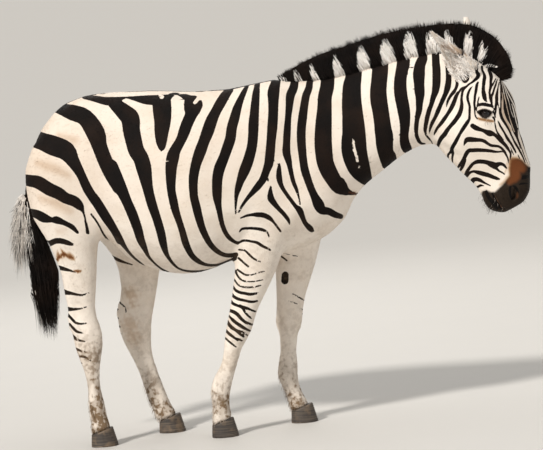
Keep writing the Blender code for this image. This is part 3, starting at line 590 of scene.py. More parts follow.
# The legs carry their own bars, drawn on a plane through each leg.
legMarkings = {
    "foreRight": {
        "wrap": 16,
        "plane": 100,
        "darkDrawn": {"growth": 1.15, "extra": 0.9, "thin": 3.5, "more": 0.9},
        "dark": [
            [(-124, 614, 2.2), (-114, 606, 2.1), (-104, 601, 1.9), (-84, 600, 1.3), (-64, 605, 1.1),
             (-35, 610, 1)],
            [(-140.7, 609.2, 2), (-134.5, 595.7, 2), (-124, 584, 2), (-103, 575.8, 1.5), (-71.4, 574.7, 1),
             (-42, 579.5, 1)],
            [(-147.3, 580.8, 2.5), (-139.8, 568.6, 2.5), (-127.6, 559.6, 2.5), (-102.1, 554, 2),
             (-73.2, 554.6, 1.5), (-52.6, 558.7, 1)],
            [(-157.8, 561.5, 3), (-148.9, 546.3, 4), (-132.4, 536.8, 4.5), (-115.5, 532.6, 4.5),
             (-95.8, 527.5, 4.5), (-66.8, 529.5, 3)],
            [(-164.5, 533, 4), (-156.8, 522.3, 4.5), (-140.3, 512.3, 4.5), (-117.9, 505.6, 4),
             (-101.1, 499.9, 4), (-83.9, 498.5, 3.5), (-72.2, 500.5, 2)],
            [(-171.1, 507.5, 4), (-162, 496.6, 4.5), (-142.6, 486.4, 4), (-125.9, 480.1, 5.5),
             (-109, 474.2, 4), (-96.7, 467.4, 3), (-82.8, 461.4, 2)],
            [(-129.2, 475.2, 3), (-120.4, 460, 3.5), (-108.8, 444.6, 3), (-99.3, 438, 2)],
            [(-178.5, 472.7, 5), (-164.6, 466.4, 5.5), (-151.1, 456, 5.5), (-139.5, 439.9, 5),
             (-126.3, 425.8, 4.5), (-112.6, 418.3, 4), (-95.8, 411.8, 2)],
            [(-179.2, 447.5, 3), (-170.1, 436.1, 5), (-159.5, 425.1, 5), (-143.3, 412.3, 5.5),
             (-127, 400, 4.5), (-106.7, 388.6, 2.5)],
            [(-192.4, 437.9, 3), (-185.7, 421, 5), (-175.4, 407.1, 5.5), (-160.1, 394.5, 4.5),
             (-145.1, 378.6, 4), (-134.5, 368.9, 2)],
            [(-156.7, 395.9, 2), (-137.8, 387.7, 2), (-119.4, 373.1, 1.5)],
            [(-199.6, 399.3, 3.5), (-188.7, 385.3, 4.5), (-175, 372.8, 4), (-158.3, 357.7, 2)],
            [(-209.2, 374.9, 2), (-195.7, 360.8, 3), (-180.6, 345.5, 3), (-166.9, 334, 1.5)],
            [(-147.5, 358, 2), (-140, 354, 1.5)],
        ],
    },
    "foreLeft": {
        "wrap": 0.5,
        "plane": 100,
        "darkDrawn": {"growth": 1.15, "extra": 0.9},
        "dark": [
            [(41, 588, 11), (38, 568, 11.5)],
            [(64.8, 514.7, 1.5), (83.9, 503, 2), (102.8, 488.6, 2)],
            [(48.1, 489.9, 1), (75.9, 477.6, 1.5)],
            [(88, 458, 1.5), (104, 450, 1.5)],
            [(90, 440, 1.5), (104, 431, 2)],
        ],
    },
    "hindRight": {
        "wrap": 16,
        "plane": 115,
        "darkDrawn": {"growth": 1.15, "extra": 0.9},
        "dark": [
            [(-805, 600, 9), (-791, 593, 8), (-761.3, 584.9, 4.5), (-728.7, 576.8, 3), (-697.5, 582.7, 2)],
            [(-800, 532, 7), (-788, 529, 7), (-769, 526.4, 5), (-738, 526, 2.5), (-704.4, 533.3, 1.5)],
            [(-779.6, 497.7, 4), (-762, 475.8, 4), (-743, 468.8, 3), (-721.6, 469.2, 2)],
            [(-774.6, 458.6, 4), (-759.4, 440.6, 4), (-735.2, 433.1, 2)],
            [(-777.3, 425.5, 5), (-759, 409, 4), (-732.8, 401.4, 2)],
            [(-767.7, 374.7, 4), (-748.7, 365.7, 3), (-730, 359.8, 1.5)],
            [(-764.6, 345.5, 3), (-740, 343.5, 3.5), (-716.1, 326, 2)],
            [(-759, 324, 3), (-752, 318, 2)],
        ],
    },
    "hindLeft": {
        "wrap": 8,
        "plane": 115,
        "darkDrawn": {"growth": 1.15, "extra": 0.9},
        "dark": [
            [(-612, 590, 5), (-600, 585, 4)],
            [(-612, 562, 3), (-598, 556, 3)],
            [(-584.5, 534.7, 2), (-569.4, 516.8, 2), (-567, 497.2, 1.5)],
            [(-612, 520, 4), (-598, 512, 3)],
            [(-616, 488, 4), (-600, 478, 3)],
            [(-612, 455, 4), (-596, 446, 3)],
            [(-608, 425, 3), (-592, 418, 2)],
        ],
    },
}
# Strokes of other colours, drawn in the same way: how strong the colour is, and how deep in a stroke it
# starts and is full, in millimetres.
tints = {
    "smudges": {
        "plane": 100, "strength": 0.16, "edge": (-16, 8),
        "strokes": [[(-850, 1085, 8), (-790, 1060, 14), (-740, 1030, 8)],
                    [(-850, 950, 7), (-790, 925, 12), (-745, 895, 8)],
                    [(-800, 822, 6), (-770, 822, 8)], [(-795, 728, 8), (-768, 726, 6)],
                    [(-760, 1180, 8), (-700, 1160, 10)]],
    },
    "brownBars": {
        "plane": 100, "strength": 0.92, "edge": (-3, 3),
        "strokes": [[(-812, 714, 4), (-798, 730, 6.5), (-780, 735, 7), (-764, 727, 6), (-752, 714, 4)],
                    [(-752, 668, 3), (-725, 664, 3)]],
    },
    "cheekTan": {
        "plane": 60, "strength": 0.3, "edge": (-5, 4),
        "strokes": [[(868, 858, 3), (885, 868, 5), (898, 884, 5)],
                    [(890, 902, 2), (897, 915, 3), (901, 935, 3)]],
    },
    "chestBrown": {
        "plane": 100, "strength": 0.6, "edge": (-4, 3),
        "strokes": [[(308, 880, 5), (322, 875, 5), (334, 871, 3)]],
    },
    "muzzleDark": {
        "plane": 50, "strength": 1, "edge": (-4, 6),
        "strokes": [[(812, 826, 18), (835, 800, 34), (868, 782, 55), (905, 806, 58), (940, 838, 58),
                     (968, 874, 44)],
                    [(922, 868, 15), (926, 905, 16), (938, 928, 22), (955, 915, 20)],
                    [(940, 915, 26), (976, 888, 28)]],
    },
    "nostrilBrown": {
        "plane": 50, "strength": 0.95, "edge": (-18, 12),
        "strokes": [[(923, 942, 9), (936, 926, 22), (956, 912, 15)],
                    [(926, 915, 16), (928, 885, 18), (906, 866, 10)]],
    },
    "nostrilInside": {
        "plane": 50, "strength": 0.50, "edge": (-2, 3),
        "strokes": [[(930, 824, 4), (930, 812, 7), (926, 803, 5)]],
    },
    "lipPale": {
        "plane": 50, "strength": 0.55, "edge": (-1.2, 1.2),
        "strokes": [[(843, 824, 1.6), (855, 797, 2), (868, 772, 2), (877, 754, 1.6)]],
    },
    "jawMottle": {
        "plane": 50, "strength": 0.75, "edge": (-2, 2),
        "strokes": [[(800, 846, 3), (812, 842, 2)], [(822, 846, 3), (834, 842, 3)]],
    },
    "lidBrown": {
        "plane": 70, "strength": 0.56, "edge": (-4, 3),
        "strokes": [[(806, 1114, 3), (815, 1110, 4.4), (832, 1105, 4.8), (848, 1101, 4.8), (862, 1098, 3.6)]],
    },
    "lineBrown": {
        "plane": 40, "strength": 0.30, "edge": (-3, 2),
        "strokes": [[(903, 1215, 3), (903, 1165, 4), (901, 1130, 4), (912, 1090, 5), (925, 1056, 4)],
                    [(913, 1190, 3), (919, 1135, 3), (930, 1082, 4), (938, 1050, 3)]],
    },
    "earTan": {
        "plane": 90, "strength": 0.34, "edge": (-5, 5),
        "strokes": [[(700, 1388, 7), (728, 1380, 13), (760, 1362, 12), (785, 1352, 8)]],
    },
}
# Painted shade: black strokes in the bare muzzle's folds, round the nostril and along the mouth. Dark strokes
# on the right ear.
muzzleCreaseShade = {
    "plane": 50,
    "strokes": [
        [(912, 858, 3), (905, 842, 4.5), (903, 828, 5), (904, 812, 4), (908, 800, 3)],
        [(916, 850, 2.5), (924, 845, 5), (930, 835, 5), (934, 824, 3)],
        [(940, 852, 2), (948, 855, 4), (962, 855, 3), (974, 853, 2)],
        [(836, 828, 3), (848, 802, 3.5), (861, 776, 4), (872, 756, 4)],
        [(815, 836, 6), (822, 815, 7), (836, 795, 8), (850, 772, 8)],
        [(984, 905, 9), (988, 870, 9), (984, 835, 8)], [(930, 880, 3), (955, 878, 8), (975, 880, 6)],
    ],
}
earDark = {
    "plane": 90,
    "strokes": [
        [(738, 1346, 2.5), (752, 1350, 3), (772, 1358, 3.5)], [(760, 1343, 2.5), (775, 1347, 3)],
        [(772, 1360, 4), (786, 1362, 3)],
        [(790, 1354, 2.5), (803, 1350, 4), (812, 1335, 4), (818, 1325, 2.5)],
    ],
}
# Stains on the far hind leg: place and size in metres.
farSmudges = [((-0.568, 0.545), 0.040), ((-0.562, 0.505), 0.024), ((-0.580, 0.430), 0.046),
              ((-0.570, 0.380), 0.040)]
legTop = 0.640  # the legs' own bars lie below this height
betweenLegs = -0.33  # x of the middle between the fore and the hind legs
nowhere = -40.0  # far outside every stroke, in millimetres


def smoothStep(value, low, high):
    share = np.clip((value - low) / (high - low), 0, 1)
    return share * share * (3 - 2 * share)


def within(value, low, high):
    return (value > low) & (value < high)


def unit(vectors):
    return vectors / (np.linalg.norm(vectors, axis=1)[:, None] + 1e-9)


def drawnStroke(stroke, growth=1, extra=0, least=0, thin=0, more=0, below=math.inf):
    # the stroke with its half widths grown, and those that stay thin and low grown once more
    drawn = []
    for x, z, width in stroke:
        width = max(least, round(width * growth + extra, 1))
        if width < thin and z < below:
            width = round(width + more, 1)
        drawn.append((x, z, width))
    return drawn


for group in (*markings.values(), *legMarkings.values()):
    for kind in ("dark", "light"):
        if kind + "Drawn" in group:
            group[kind] = [drawnStroke(stroke, **group[kind + "Drawn"]) for stroke in group[kind]]


def strokePieces(stroke):
    # a stroke's points, rounded into a smooth line, as short straight pieces
    points = np.array(stroke, float)
    if len(points) > 2:
        ends = np.vstack([2 * points[0] - points[1], points, 2 * points[-1] - points[-2]])
        ends[0, 2], ends[-1, 2] = points[0, 2], points[-1, 2]
        t = np.array([0, 1 / 3, 2 / 3])[:, None]
        rows = []
        for a, b, c, d in zip(ends, ends[1:], ends[2:], ends[3:]):
            slope, sag, twist = 0.5 * (c - a), a - 2.5 * b + 2 * c - 0.5 * d, 1.5 * (b - c) + 0.5 * (d - a)
            rows.append(b + t * slope + t**2 * sag + t**3 * twist)
        points = np.vstack(rows + [points[-1:]])
    return points[:-1], points[1:]


def strokeValue(flat, strokes):
    # how deep inside the strokes each flat point is, in millimetres; negative outside
    value = np.full(len(flat), nowhere)
    for stroke in strokes:
        starts, ends = strokePieces(stroke)
        reach = max(starts[:, 2].max(), ends[:, 2].max()) + 12
        low = np.minimum(starts[:, :2].min(0), ends[:, :2].min(0)) - reach
        high = np.maximum(starts[:, :2].max(0), ends[:, :2].max(0)) + reach
        near = np.flatnonzero(((flat > low) & (flat < high)).all(1))
        if not len(near):
            continue
        spots = flat[near]
        best = np.full(len(near), nowhere)
        for a, b in zip(starts, ends):
            along = b[:2] - a[:2]
            share = np.clip((spots - a[:2]) @ along / max(along @ along, 1e-9), 0, 1)
            gap = np.hypot(*(spots - a[:2] - share[:, None] * along).T)
            best = np.maximum(best, a[2] + (b[2] - a[2]) * share - gap)
        value[near] = np.maximum(value[near], best)
    return value


def carried(points, plane, acrossY):
    # points of the coat carried on to the plane that the strokes are drawn on
    share = (-plane * millimetre - eyePoint.y) / (acrossY - eyePoint.y)
    x = eyePoint.x + (points[:, 0] - eyePoint.x) * share
    z = eyePoint.z + (points[:, 2] - eyePoint.z) * share
    return np.column_stack([x, z]) * 1000


def drawnDepth(points, group):
    return strokeValue(carried(points, group["plane"], -np.abs(points[:, 1])), group["strokes"])


def tint(points, name):
    group = tints[name]
    return group["strength"] * smoothStep(drawnDepth(points, group), *group["edge"])


def wrapped(stroke, reach):
    # the stroke drawn out at its start, round the back of the leg
    (x, z, width), (nextX, nextZ, _) = stroke[:2]
    span = math.hypot(x - nextX, z - nextZ)
    return [(x + (x - nextX) / span * reach, z + (z - nextZ) / span * reach, width)] + stroke


def alongEar(points, ear):
    # how far up the ear each point lies, from base to tip, and how far it is from the line between them
    base, tip = np.array(ear["base"]), np.array(ear["tip"])
    share = (points - base) @ (tip - base) / ((tip - base) @ (tip - base))
    return share, np.linalg.norm(points - base - share[:, None] * (tip - base), axis=1)


def bodyStripes(points, normals):
    # how deep in dark hair the points of the body lie; the left side's stripes are shifted a little
    x, y, z = points.T
    left = smoothStep(y, 0.005, 0.06)
    fore = x > betweenLegs
    spot = points.copy()
    hindShift = 0.195 * smoothStep(-z, -1.02, -0.66) * (~fore)
    foreShift = 0.14 * smoothStep(-z, -0.98, -0.60) * fore
    spot[:, 0] -= left * (hindShift + foreShift)
    body = (z > 0.80) & (x < 0.74)
    spot[:, 0] += left * body * 0.010 * np.sin(7 * z + 2)
    spot[:, 2] += left * body * 0.012 * np.sin(9 * x)
    mark = np.full(len(points), nowhere)
    light = np.full(len(points), nowhere)
    for group in markings.values():
        flat = carried(spot, group["plane"], -np.abs(y))
        mark = np.maximum(mark, strokeValue(flat, group["dark"]))
        light = np.maximum(light, strokeValue(flat, group["light"]))
    mark = np.where(z > 0.615, mark, nowhere)
    # the line down the back, with its fine pale edges, and the line under the belly
    spine = 15 + 9 * smoothStep(x, -0.70, -0.60) - np.abs(y) * 1000 + 2 * np.sin(40 * x)
    back = (z > 1.20) & within(x, -0.90, 0.06) & (normals[:, 2] > 0.3)
    mark = np.where(back, np.maximum(mark, spine), mark)
    paleLine = 2.6 - np.abs(np.abs(y) * 1000 - 12)
    light = np.where(back & within(x, -0.61, -0.26), np.maximum(light, paleLine), light)
    under = (z < 0.72) & (np.abs(y) < 0.06) & within(x, -0.45, 0.02) & (normals[:, 2] < -0.5)
    mark = np.where(under, np.maximum(mark, 14 - np.abs(y) * 1000), mark)
    # the dock's bars and the line down it
    tailBars = 7 - np.abs((z * 1000 + x * 300) % 46 - 23)
    dock = (x < -0.89) & (z > 0.9) & (np.abs(y) < 0.032)
    mark = np.where(dock, np.maximum(np.where(np.abs(y) < 0.009, 4.0, -6.0), tailBars), mark)
    return np.minimum(mark, -light)


def coatMarks(points, normals):
    # everything that colours the coat at these points
    x, y, z = points.T
    mark = bodyStripes(points, normals)
    for name, group in legMarkings.items():
        own = ((x > betweenLegs) == name.startswith("fore")) & ((y > 0) == name.endswith("Left")) & (z < legTop)
        if own.any():
            flat = carried(points[own], group["plane"], y[own])
            bars = strokeValue(flat, [wrapped(stroke, group["wrap"]) for stroke in group["dark"]])
            mark[own] = np.maximum(mark[own], bars)
    brown = tint(points, "smudges")
    brown += (0.07 + 0.05 * smoothStep(-x, 0.5, 0.8)) * smoothStep(z, 0.78, 1.0) * smoothStep(-x, -0.45, -0.2)
    for name, where in (("brownBars", x < -0.5), ("cheekTan", x > 0.8), ("chestBrown", x < 0.5)):
        brown = np.maximum(brown, tint(points, name) * where)
    face = x > 0.70
    front = points[face]
    nose = tint(front, "nostrilBrown")
    lip = tint(front, "lipPale")
    bare = np.zeros(len(points))
    bare[face] = tint(front, "muzzleDark") * (1 - tint(front, "jawMottle")) * (1 - 0.16 * lip)
    tones = [tint(front, name) for name in ("nostrilInside", "lidBrown", "lineBrown")]
    brown[face] = np.maximum.reduce([nose, lip, *tones, brown[face]])
    # painted shade: the folds of the bare muzzle round the nostril and along the mouth are drawn black
    creaseShade = np.where(nose > 0.3, -3, drawnDepth(front, muzzleCreaseShade))
    mark[face] = np.where(bare[face] > 0.3, creaseShade, mark[face])
    rim = smoothStep(almondDepth(points), -0.0078, -0.0040) * (np.abs(y) > 0.05)
    bare = np.maximum(bare, rim * 0.97)
    mud = smoothStep(-z, -0.34, -0.07) * 0.80 + 0.22 * smoothStep(-z, -0.62, -0.36)
    mud += 0.45 * smoothStep(-z, -0.50, -0.34) * (x < betweenLegs) * (y < 0)
    mud += 0.16 * smoothStep(-z, -0.84, -0.68) * (z > 0.55)
    for (stainX, stainZ), size in farSmudges:
        gap = np.hypot(x - stainX, z - stainZ)
        gap += 0.008 * np.sin(x * 250 + z * 90)
        gap += 0.007 * np.sin(z * 310 - x * 60)
        brown = np.maximum(brown, 0.24 * smoothStep(-gap, -size, -size * 0.2) * (y > 0.02))
    inner = np.zeros(len(points))
    for name, ear in ears.items():
        share, gap = alongEar(points, ear)
        onEar = within(share, 0.10, 1.1) & (gap < ear["reach"])
        facing = normals @ np.array(ear["opening"])
        hollow = onEar & (facing > 0.15)
        band = -20 if ear["band"] is None else 9 - np.abs(share - ear["band"]) * 90
        mark = np.where(onEar, np.where(hollow, -20, band), mark)
        inner = np.where(hollow & (share < 0.85), smoothStep(facing, 0.15, 0.6), inner)
        brown = np.where(onEar, 0.06 * smoothStep(-share, -0.55, -0.25), brown)
        brown[onEar] = np.maximum(brown[onEar], tint(points[onEar], "earTan"))
        if name == "right":
            mark[onEar] = np.maximum(mark[onEar], drawnDepth(points[onEar], earDark))
    upright = smoothStep(-z, -0.80, -0.62)
    upright = np.maximum(upright, smoothStep(x, 0.66, 0.80) * 0.9)
    return {"mark": mark, "mud": mud, "brown": brown, "bare": bare, "inner": inner, "upright": upright}


def writeValues(mesh, values):
    for name, numbers in values.items():
        layer = mesh.attributes.new(name, "FLOAT", "POINT")
        layer.data.foreach_set("value", np.ascontiguousarray(numbers, np.float32))


def readPoints(mesh):
    points = np.empty(len(mesh.vertices) * 3, np.float32)
    mesh.vertices.foreach_get("co", points)
    normals = np.empty(len(mesh.vertices) * 3, np.float32)
    mesh.vertex_normals.foreach_get("vector", normals)
    return points.reshape(-1, 3).astype(float), normals.reshape(-1, 3).astype(float)


def writePoints(mesh, points):
    mesh.vertices.foreach_set("co", points.astype(np.float32).ravel())
    mesh.update()


def applied(piece, kind, **settings):
    # one modifier, applied at once
    modifier = piece.modifiers.new(kind.lower(), kind)
    for key, value in settings.items():
        setattr(modifier, key, value)
    graph = bpy.context.evaluated_depsgraph_get()
    mesh = bpy.data.meshes.new_from_object(piece.evaluated_get(graph))
    piece.modifiers.clear()
    old = piece.data
    piece.data = mesh
    bpy.data.meshes.remove(old)


def melted(name, solids, grain, smoothing):
    # the named solids as one closed and evenly meshed piece
    bm = bmesh.new()
    for solid in solids:
        bm.from_mesh(nodes[solid].data)
    bmesh.ops.remove_doubles(bm, verts=bm.verts, dist=0.1 * millimetre)
    piece = makeMesh(name, bm)
    applied(piece, "REMESH", mode="VOXEL", voxel_size=grain)
    applied(piece, "SMOOTH", factor=0.5, iterations=smoothing)
    return piece


def dress(piece, finish):
    mesh = piece.data
    mesh.polygons.foreach_set("use_smooth", [True] * len(mesh.polygons))
    mesh.materials.clear()
    mesh.materials.append(finish)


# ---- the body's skin ----
skin = {
    "solids": ("trunk", "neck", "head", "tail", "foreleg_right", "foreleg_left", "fore_shank_right",
               "fore_shank_left", "hindleg_right", "hindleg_left", "hind_shank_right", "hind_shank_left",
               "eye_right", "eye_left"),
    "coarseGrain": 0.007,
    "fineGrain": 0.0033,
    "coatDepth": 0.0025,
    "faces": 196000,
    # how readily the skin is thinned, well inside a stripe and at its edge
    "weights": {"trunk": (0.925, 0.845), "legs": (0.85, 0.74), "head": (0.66, 0.45)},
    # round the eyes and round the nostrils the mesh is made finer
    "fineSpots": (((0.838, 0.09, 1.1285), 0.044), ((0.915, 0.05, 0.825), 0.042)),
}
eyes = {
    "centre": (0.838, 1.1285),  # x and z
    "across": 0.0850,
    "radius": 0.0212,
    "rear": (-0.0290, 0.0095),
    "front": (0.0205, 0.0040),
    "top": 0.0150,
    "bottom": -0.0125,
    "depth": 0.012,
    "lidOver": 0.006,
    "lid": (0.0030, 0.0028, 0.0034),  # how far out, how wide and how high
    "look": (0.22, 0.02),  # how far the eyes turn forwards and up
    "bulge": 0.0010,
    "irisReach": 0.66,  # of the eye's radius
    "pupilReach": (0.34, 0.17),
}
ears = {
    "right": {"base": (0.802, -0.048, 1.268), "tip": (0.656, -0.114, 1.448), "opening": (-0.70, -0.72, -0.15),
              "band": None, "tipRadius": 0.004, "reach": 0.055},
    "left": {"base": (0.806, 0.046, 1.300), "tip": (0.786, 0.104, 1.484), "opening": (-0.80, 0.60, 0.0),
             "band": 0.60, "tipRadius": 0.010, "reach": 0.055},
}
earShape = {"wall": 0.0058, "radius": 0.037, "wideBase": 0.24, "point": 0.98, "lowBulge": 0.62,
            "wrap": (155, 70), "cup": 0.85, "rows": 40, "columns": 28}


def earLeaf(name):
    # a flat grid, rolled and cupped into an ear, then given its wall
    ear = ears[name]
    base, tip = Vector(ear["base"]), Vector(ear["tip"])
    axis = (tip - base).normalized()
    front = Vector(ear["opening"])
    front = (front - axis * front.dot(axis)).normalized()
    across = axis.cross(front)
    bm = bmesh.new()
    bmesh.ops.create_grid(bm, x_segments=earShape["columns"], y_segments=earShape["rows"], size=0.5)
    for v in bm.verts:
        along, side = v.co.y + 0.5, v.co.x * 2
        wrap = earShape["wrap"][0] + (earShape["wrap"][1] - earShape["wrap"][0]) * along
        turn = side * math.radians(wrap)
        bulge = earShape["wideBase"] + (earShape["point"] - earShape["wideBase"]) * along
        width = earShape["radius"] * math.sin(math.pi * bulge**earShape["lowBulge"]) + ear["tipRadius"]
        width *= 1 + 0.02 * math.sin(along * 21 + side * 3)
        lean = front * ((1 - math.cos(turn)) * width * earShape["cup"] - width * earShape["cup"])
        v.co = base + (tip - base) * along + across * (math.sin(turn) * width) + lean
    bmesh.ops.recalc_face_normals(bm, faces=bm.faces)
    bmesh.ops.solidify(bm, geom=bm.faces[:], thickness=earShape["wall"])
    bmesh.ops.recalc_face_normals(bm, faces=bm.faces)
    return bm


# Forms of the head and body that the solids leave plain: two ends of a ridge or hollow in metres, how
# wide it is, and how far it rises; each is made on both sides.
forms = {
    "cheek_bone": ((0.905, 0.052, 1.075), (0.800, 0.082, 1.085), 0.014, 0.0042),
    "jaw_edge": ((0.690, 0.070, 1.060), (0.760, 0.060, 0.955), 0.018, 0.0040),
    "jaw_hollow": ((0.745, 0.075, 1.135), (0.715, 0.080, 1.175), 0.022, -0.0050),
    "throat_groove": ((0.655, 0.070, 1.150), (0.640, 0.062, 1.060), 0.020, -0.0060),
    "chewing_muscle": ((0.745, 0.080, 1.060), (0.775, 0.070, 1.000), 0.030, 0.0040),
    "face_hollow": ((0.865, 0.060, 1.040), (0.895, 0.050, 0.985), 0.018, -0.0040),
    "nose_bone": ((0.935, 0.022, 1.060), (0.952, 0.020, 0.985), 0.014, 0.0026),
    "temple_hollow": ((0.820, 0.066, 1.195), (0.806, 0.068, 1.215), 0.013, -0.0040),
    "brow_ridge": ((0.815, 0.096, 1.158), (0.868, 0.088, 1.156), 0.008, 0.0046),
    "forehead_front": ((0.945, 0.0, 1.175), (0.955, 0.0, 1.090), 0.034, 0.0065),
    "nose_front": ((0.962, 0.0, 1.010), (0.980, 0.0, 0.925), 0.036, 0.0115),
    "upper_lid": ((0.814, 0.088, 1.1475), (0.858, 0.084, 1.1440), 0.0052, 0.0040),
    "lid_crease": ((0.812, 0.100, 1.1505), (0.862, 0.092, 1.1475), 0.0032, -0.0022),
    "under_eye": ((0.815, 0.098, 1.1035), (0.856, 0.090, 1.0995), 0.0045, -0.0020),
    "nostril_rim_back": ((0.903, 0.056, 0.850), (0.902, 0.054, 0.800), 0.0070, 0.0042),
    "nostril_rim_front": ((0.938, 0.050, 0.842), (0.934, 0.046, 0.802), 0.0075, 0.0040),
    "nostril": ((0.924, 0.052, 0.834), (0.917, 0.052, 0.802), 0.0066, -0.0140),
    "nostril_fold": ((0.897, 0.054, 0.862), (0.895, 0.052, 0.800), 0.0036, -0.0034),
    "mouth": ((0.840, 0.046, 0.826), (0.862, 0.040, 0.782), 0.0040, -0.0065),
    "mouth_front": ((0.862, 0.040, 0.782), (0.882, 0.022, 0.748), 0.0040, -0.0060),
    "lower_lip": ((0.832, 0.040, 0.806), (0.856, 0.028, 0.766), 0.012, 0.0040),
    "upper_lip": ((0.862, 0.050, 0.812), (0.885, 0.036, 0.772), 0.014, 0.0034),
    "shoulder_line": ((0.110, 0.165, 1.150), (0.215, 0.130, 0.900), 0.030, -0.0060),
    "shoulder_front": ((0.190, 0.125, 0.980), (0.205, 0.130, 0.880), 0.045, 0.0060),
    "arm_muscle": ((0.000, 0.190, 0.900), (-0.050, 0.165, 0.780), 0.045, 0.0060),
    "elbow_fold": ((-0.060, 0.205, 0.860), (-0.100, 0.175, 0.740), 0.020, -0.0080),
    "flank_fold": ((-0.640, 0.215, 0.905), (-0.560, 0.200, 0.760), 0.018, 0.0060),
    "flank_hollow": ((-0.555, 0.250, 1.130), (-0.565, 0.250, 1.040), 0.055, -0.0080),
    "hip_bone": ((-0.585, 0.205, 1.225), (-0.600, 0.215, 1.205), 0.032, 0.0060),
    "thigh_groove": ((-0.800, 0.140, 1.000), (-0.770, 0.150, 0.840), 0.024, -0.0055),
}
# The same for the joints of each leg, from the middle of its knee or hock; y runs outwards.
knees = ((-1, -0.194, 0.390), (1, 0.014, 0.390))  # side, x and z
hocks = ((-1, -0.718, 0.430), (1, -0.563, 0.440))
jointOut = 0.115  # how far a knee or hock is from the middle of the animal
kneeForms = {
    "cap": ((0.046, 0.0, 0.022), (0.046, 0.0, -0.022), 0.020, 0.0040),
    "cap_foot": ((0.042, 0.0, -0.040), (0.038, 0.0, -0.055), 0.012, -0.0030),
    "outer_bone": ((0.000, 0.042, 0.018), (0.000, 0.042, -0.016), 0.014, 0.0034),
    "inner_bone": ((0.000, -0.042, 0.018), (0.000, -0.042, -0.016), 0.014, 0.0034),
    "rear_bone": ((-0.048, 0.0, 0.012), (-0.046, 0.0, -0.016), 0.012, 0.0050),
    "outer_groove": ((-0.016, 0.030, -0.075), (-0.020, 0.030, -0.165), 0.008, -0.0036),
    "inner_groove": ((-0.016, -0.030, -0.075), (-0.020, -0.030, -0.165), 0.008, -0.0036),
    "arm_groove": ((0.006, 0.040, 0.180), (-0.002, 0.044, 0.070), 0.014, -0.0040),
}
hockForms = {
    "point": ((-0.062, 0.0, 0.062), (-0.060, 0.0, 0.030), 0.015, 0.0085),
    "string": ((-0.050, 0.0, 0.110), (-0.058, 0.0, 0.075), 0.012, 0.0030),
    "outer_hollow": ((-0.030, 0.036, 0.115), (-0.034, 0.034, 0.060), 0.013, -0.0075),
    "inner_hollow": ((-0.030, -0.036, 0.115), (-0.034, -0.034, 0.060), 0.013, -0.0075),
    "outer_bone": ((0.010, 0.042, 0.018), (0.006, 0.042, -0.010), 0.015, 0.0038),
    "inner_bone": ((0.010, -0.042, 0.010), (0.006, -0.042, -0.020), 0.016, 0.0045),
    "front_bend": ((0.056, 0.0, 0.012), (0.052, 0.0, -0.020), 0.018, -0.0035),
    "outer_groove": ((-0.012, 0.030, -0.090), (-0.006, 0.030, -0.200), 0.008, -0.0036),
    "inner_groove": ((-0.012, -0.030, -0.090), (-0.006, -0.030, -0.200), 0.008, -0.0036),
}


def pushLegs(points, normals):
    # knees and hocks, each placed on its own leg
    for joints, jointForms in ((hocks, hockForms), (knees, kneeForms)):
        for side, x, z in joints:
            for first, second, width, rise in jointForms.values():
                ends = [(x + end[0], side * (jointOut + end[1]), z + end[2]) for end in (first, second)]
                pushAlong(points, normals, *ends, width, rise, mirrored=False)


def pushAlong(points, normals, first, second, width, rise, mirrored=True):
    a, b = np.array(first, float), np.array(second, float)
    low = np.minimum(a, b) - 3 * width
    high = np.maximum(a, b) + 3 * width
    spots = points.copy()
    if mirrored:
        spots[:, 1] = np.abs(spots[:, 1])
    near = np.flatnonzero(((spots > low) & (spots < high)).all(1))
    if not len(near):
        return
    span = b - a
    share = np.clip((spots[near] - a) @ span / (span @ span), 0, 1)
    gap = np.linalg.norm(spots[near] - a - share[:, None] * span, axis=1)
    points[near] += normals[near] * (rise * np.exp(-((gap / width) ** 2)))[:, None]


def almondDepth(points):
    # how far inside the opening between the lids a point is, seen from the side
    cx, cz = eyes["centre"]
    dx, dz = points[:, 0] - cx, points[:, 2] - cz
    rear, front = eyes["rear"], eyes["front"]
    share = np.clip((dx - rear[0]) / (front[0] - rear[0]), 0, 1)
    arch = np.sin(np.pi * share) ** 0.75
    middle = rear[1] + (front[1] - rear[1]) * share
    top = middle + (eyes["top"] - eyes["lidOver"]) * arch
    bottom = middle + (eyes["bottom"] - eyes["lidOver"]) * arch
    inside = np.minimum(top - dz, dz - bottom)
    beyond = np.maximum(np.maximum(rear[0] - dx, dx - front[0]), 0)
    return inside - beyond


def openEyes(points, normals):
    # the skin dips behind the eyeball inside the almond, and the lids stand round it
    inside = almondDepth(points)
    near = (np.abs(points[:, 1]) > 0.05) & (inside > -0.03)
    out, width, rise = eyes["lid"]
    lid = np.exp(-(((inside + out) / width) ** 2)) * rise
    dip = smoothStep(inside, -0.0008, 0.0022) * eyes["depth"]
    points[:, 1] += np.sign(points[:, 1]) * np.where(near, lid - dip, 0)


def smoothTorso(body):
    points, normals = readPoints(body.data)
    torso = smoothStep(points[:, 2], 0.62, 0.78) * smoothStep(-points[:, 0], -0.68, -0.50)
    group = body.vertex_groups.new(name="torso")
    for level in range(1, 11):
        chosen = np.flatnonzero(np.round(torso * 10) == level)
        group.add(chosen.tolist(), level / 10, "REPLACE")
    applied(body, "SMOOTH", factor=0.5, iterations=26, vertex_group="torso")
    body.vertex_groups.clear()


def addEars(body):
    bm = bmesh.new()
    bm.from_mesh(body.data)
    for name in ears:
        leaf = earLeaf(name)
        holder = bpy.data.meshes.new("leaf")
        leaf.to_mesh(holder)
        leaf.free()
        bm.from_mesh(holder)
        bpy.data.meshes.remove(holder)
    bm.to_mesh(body.data)
    bm.free()


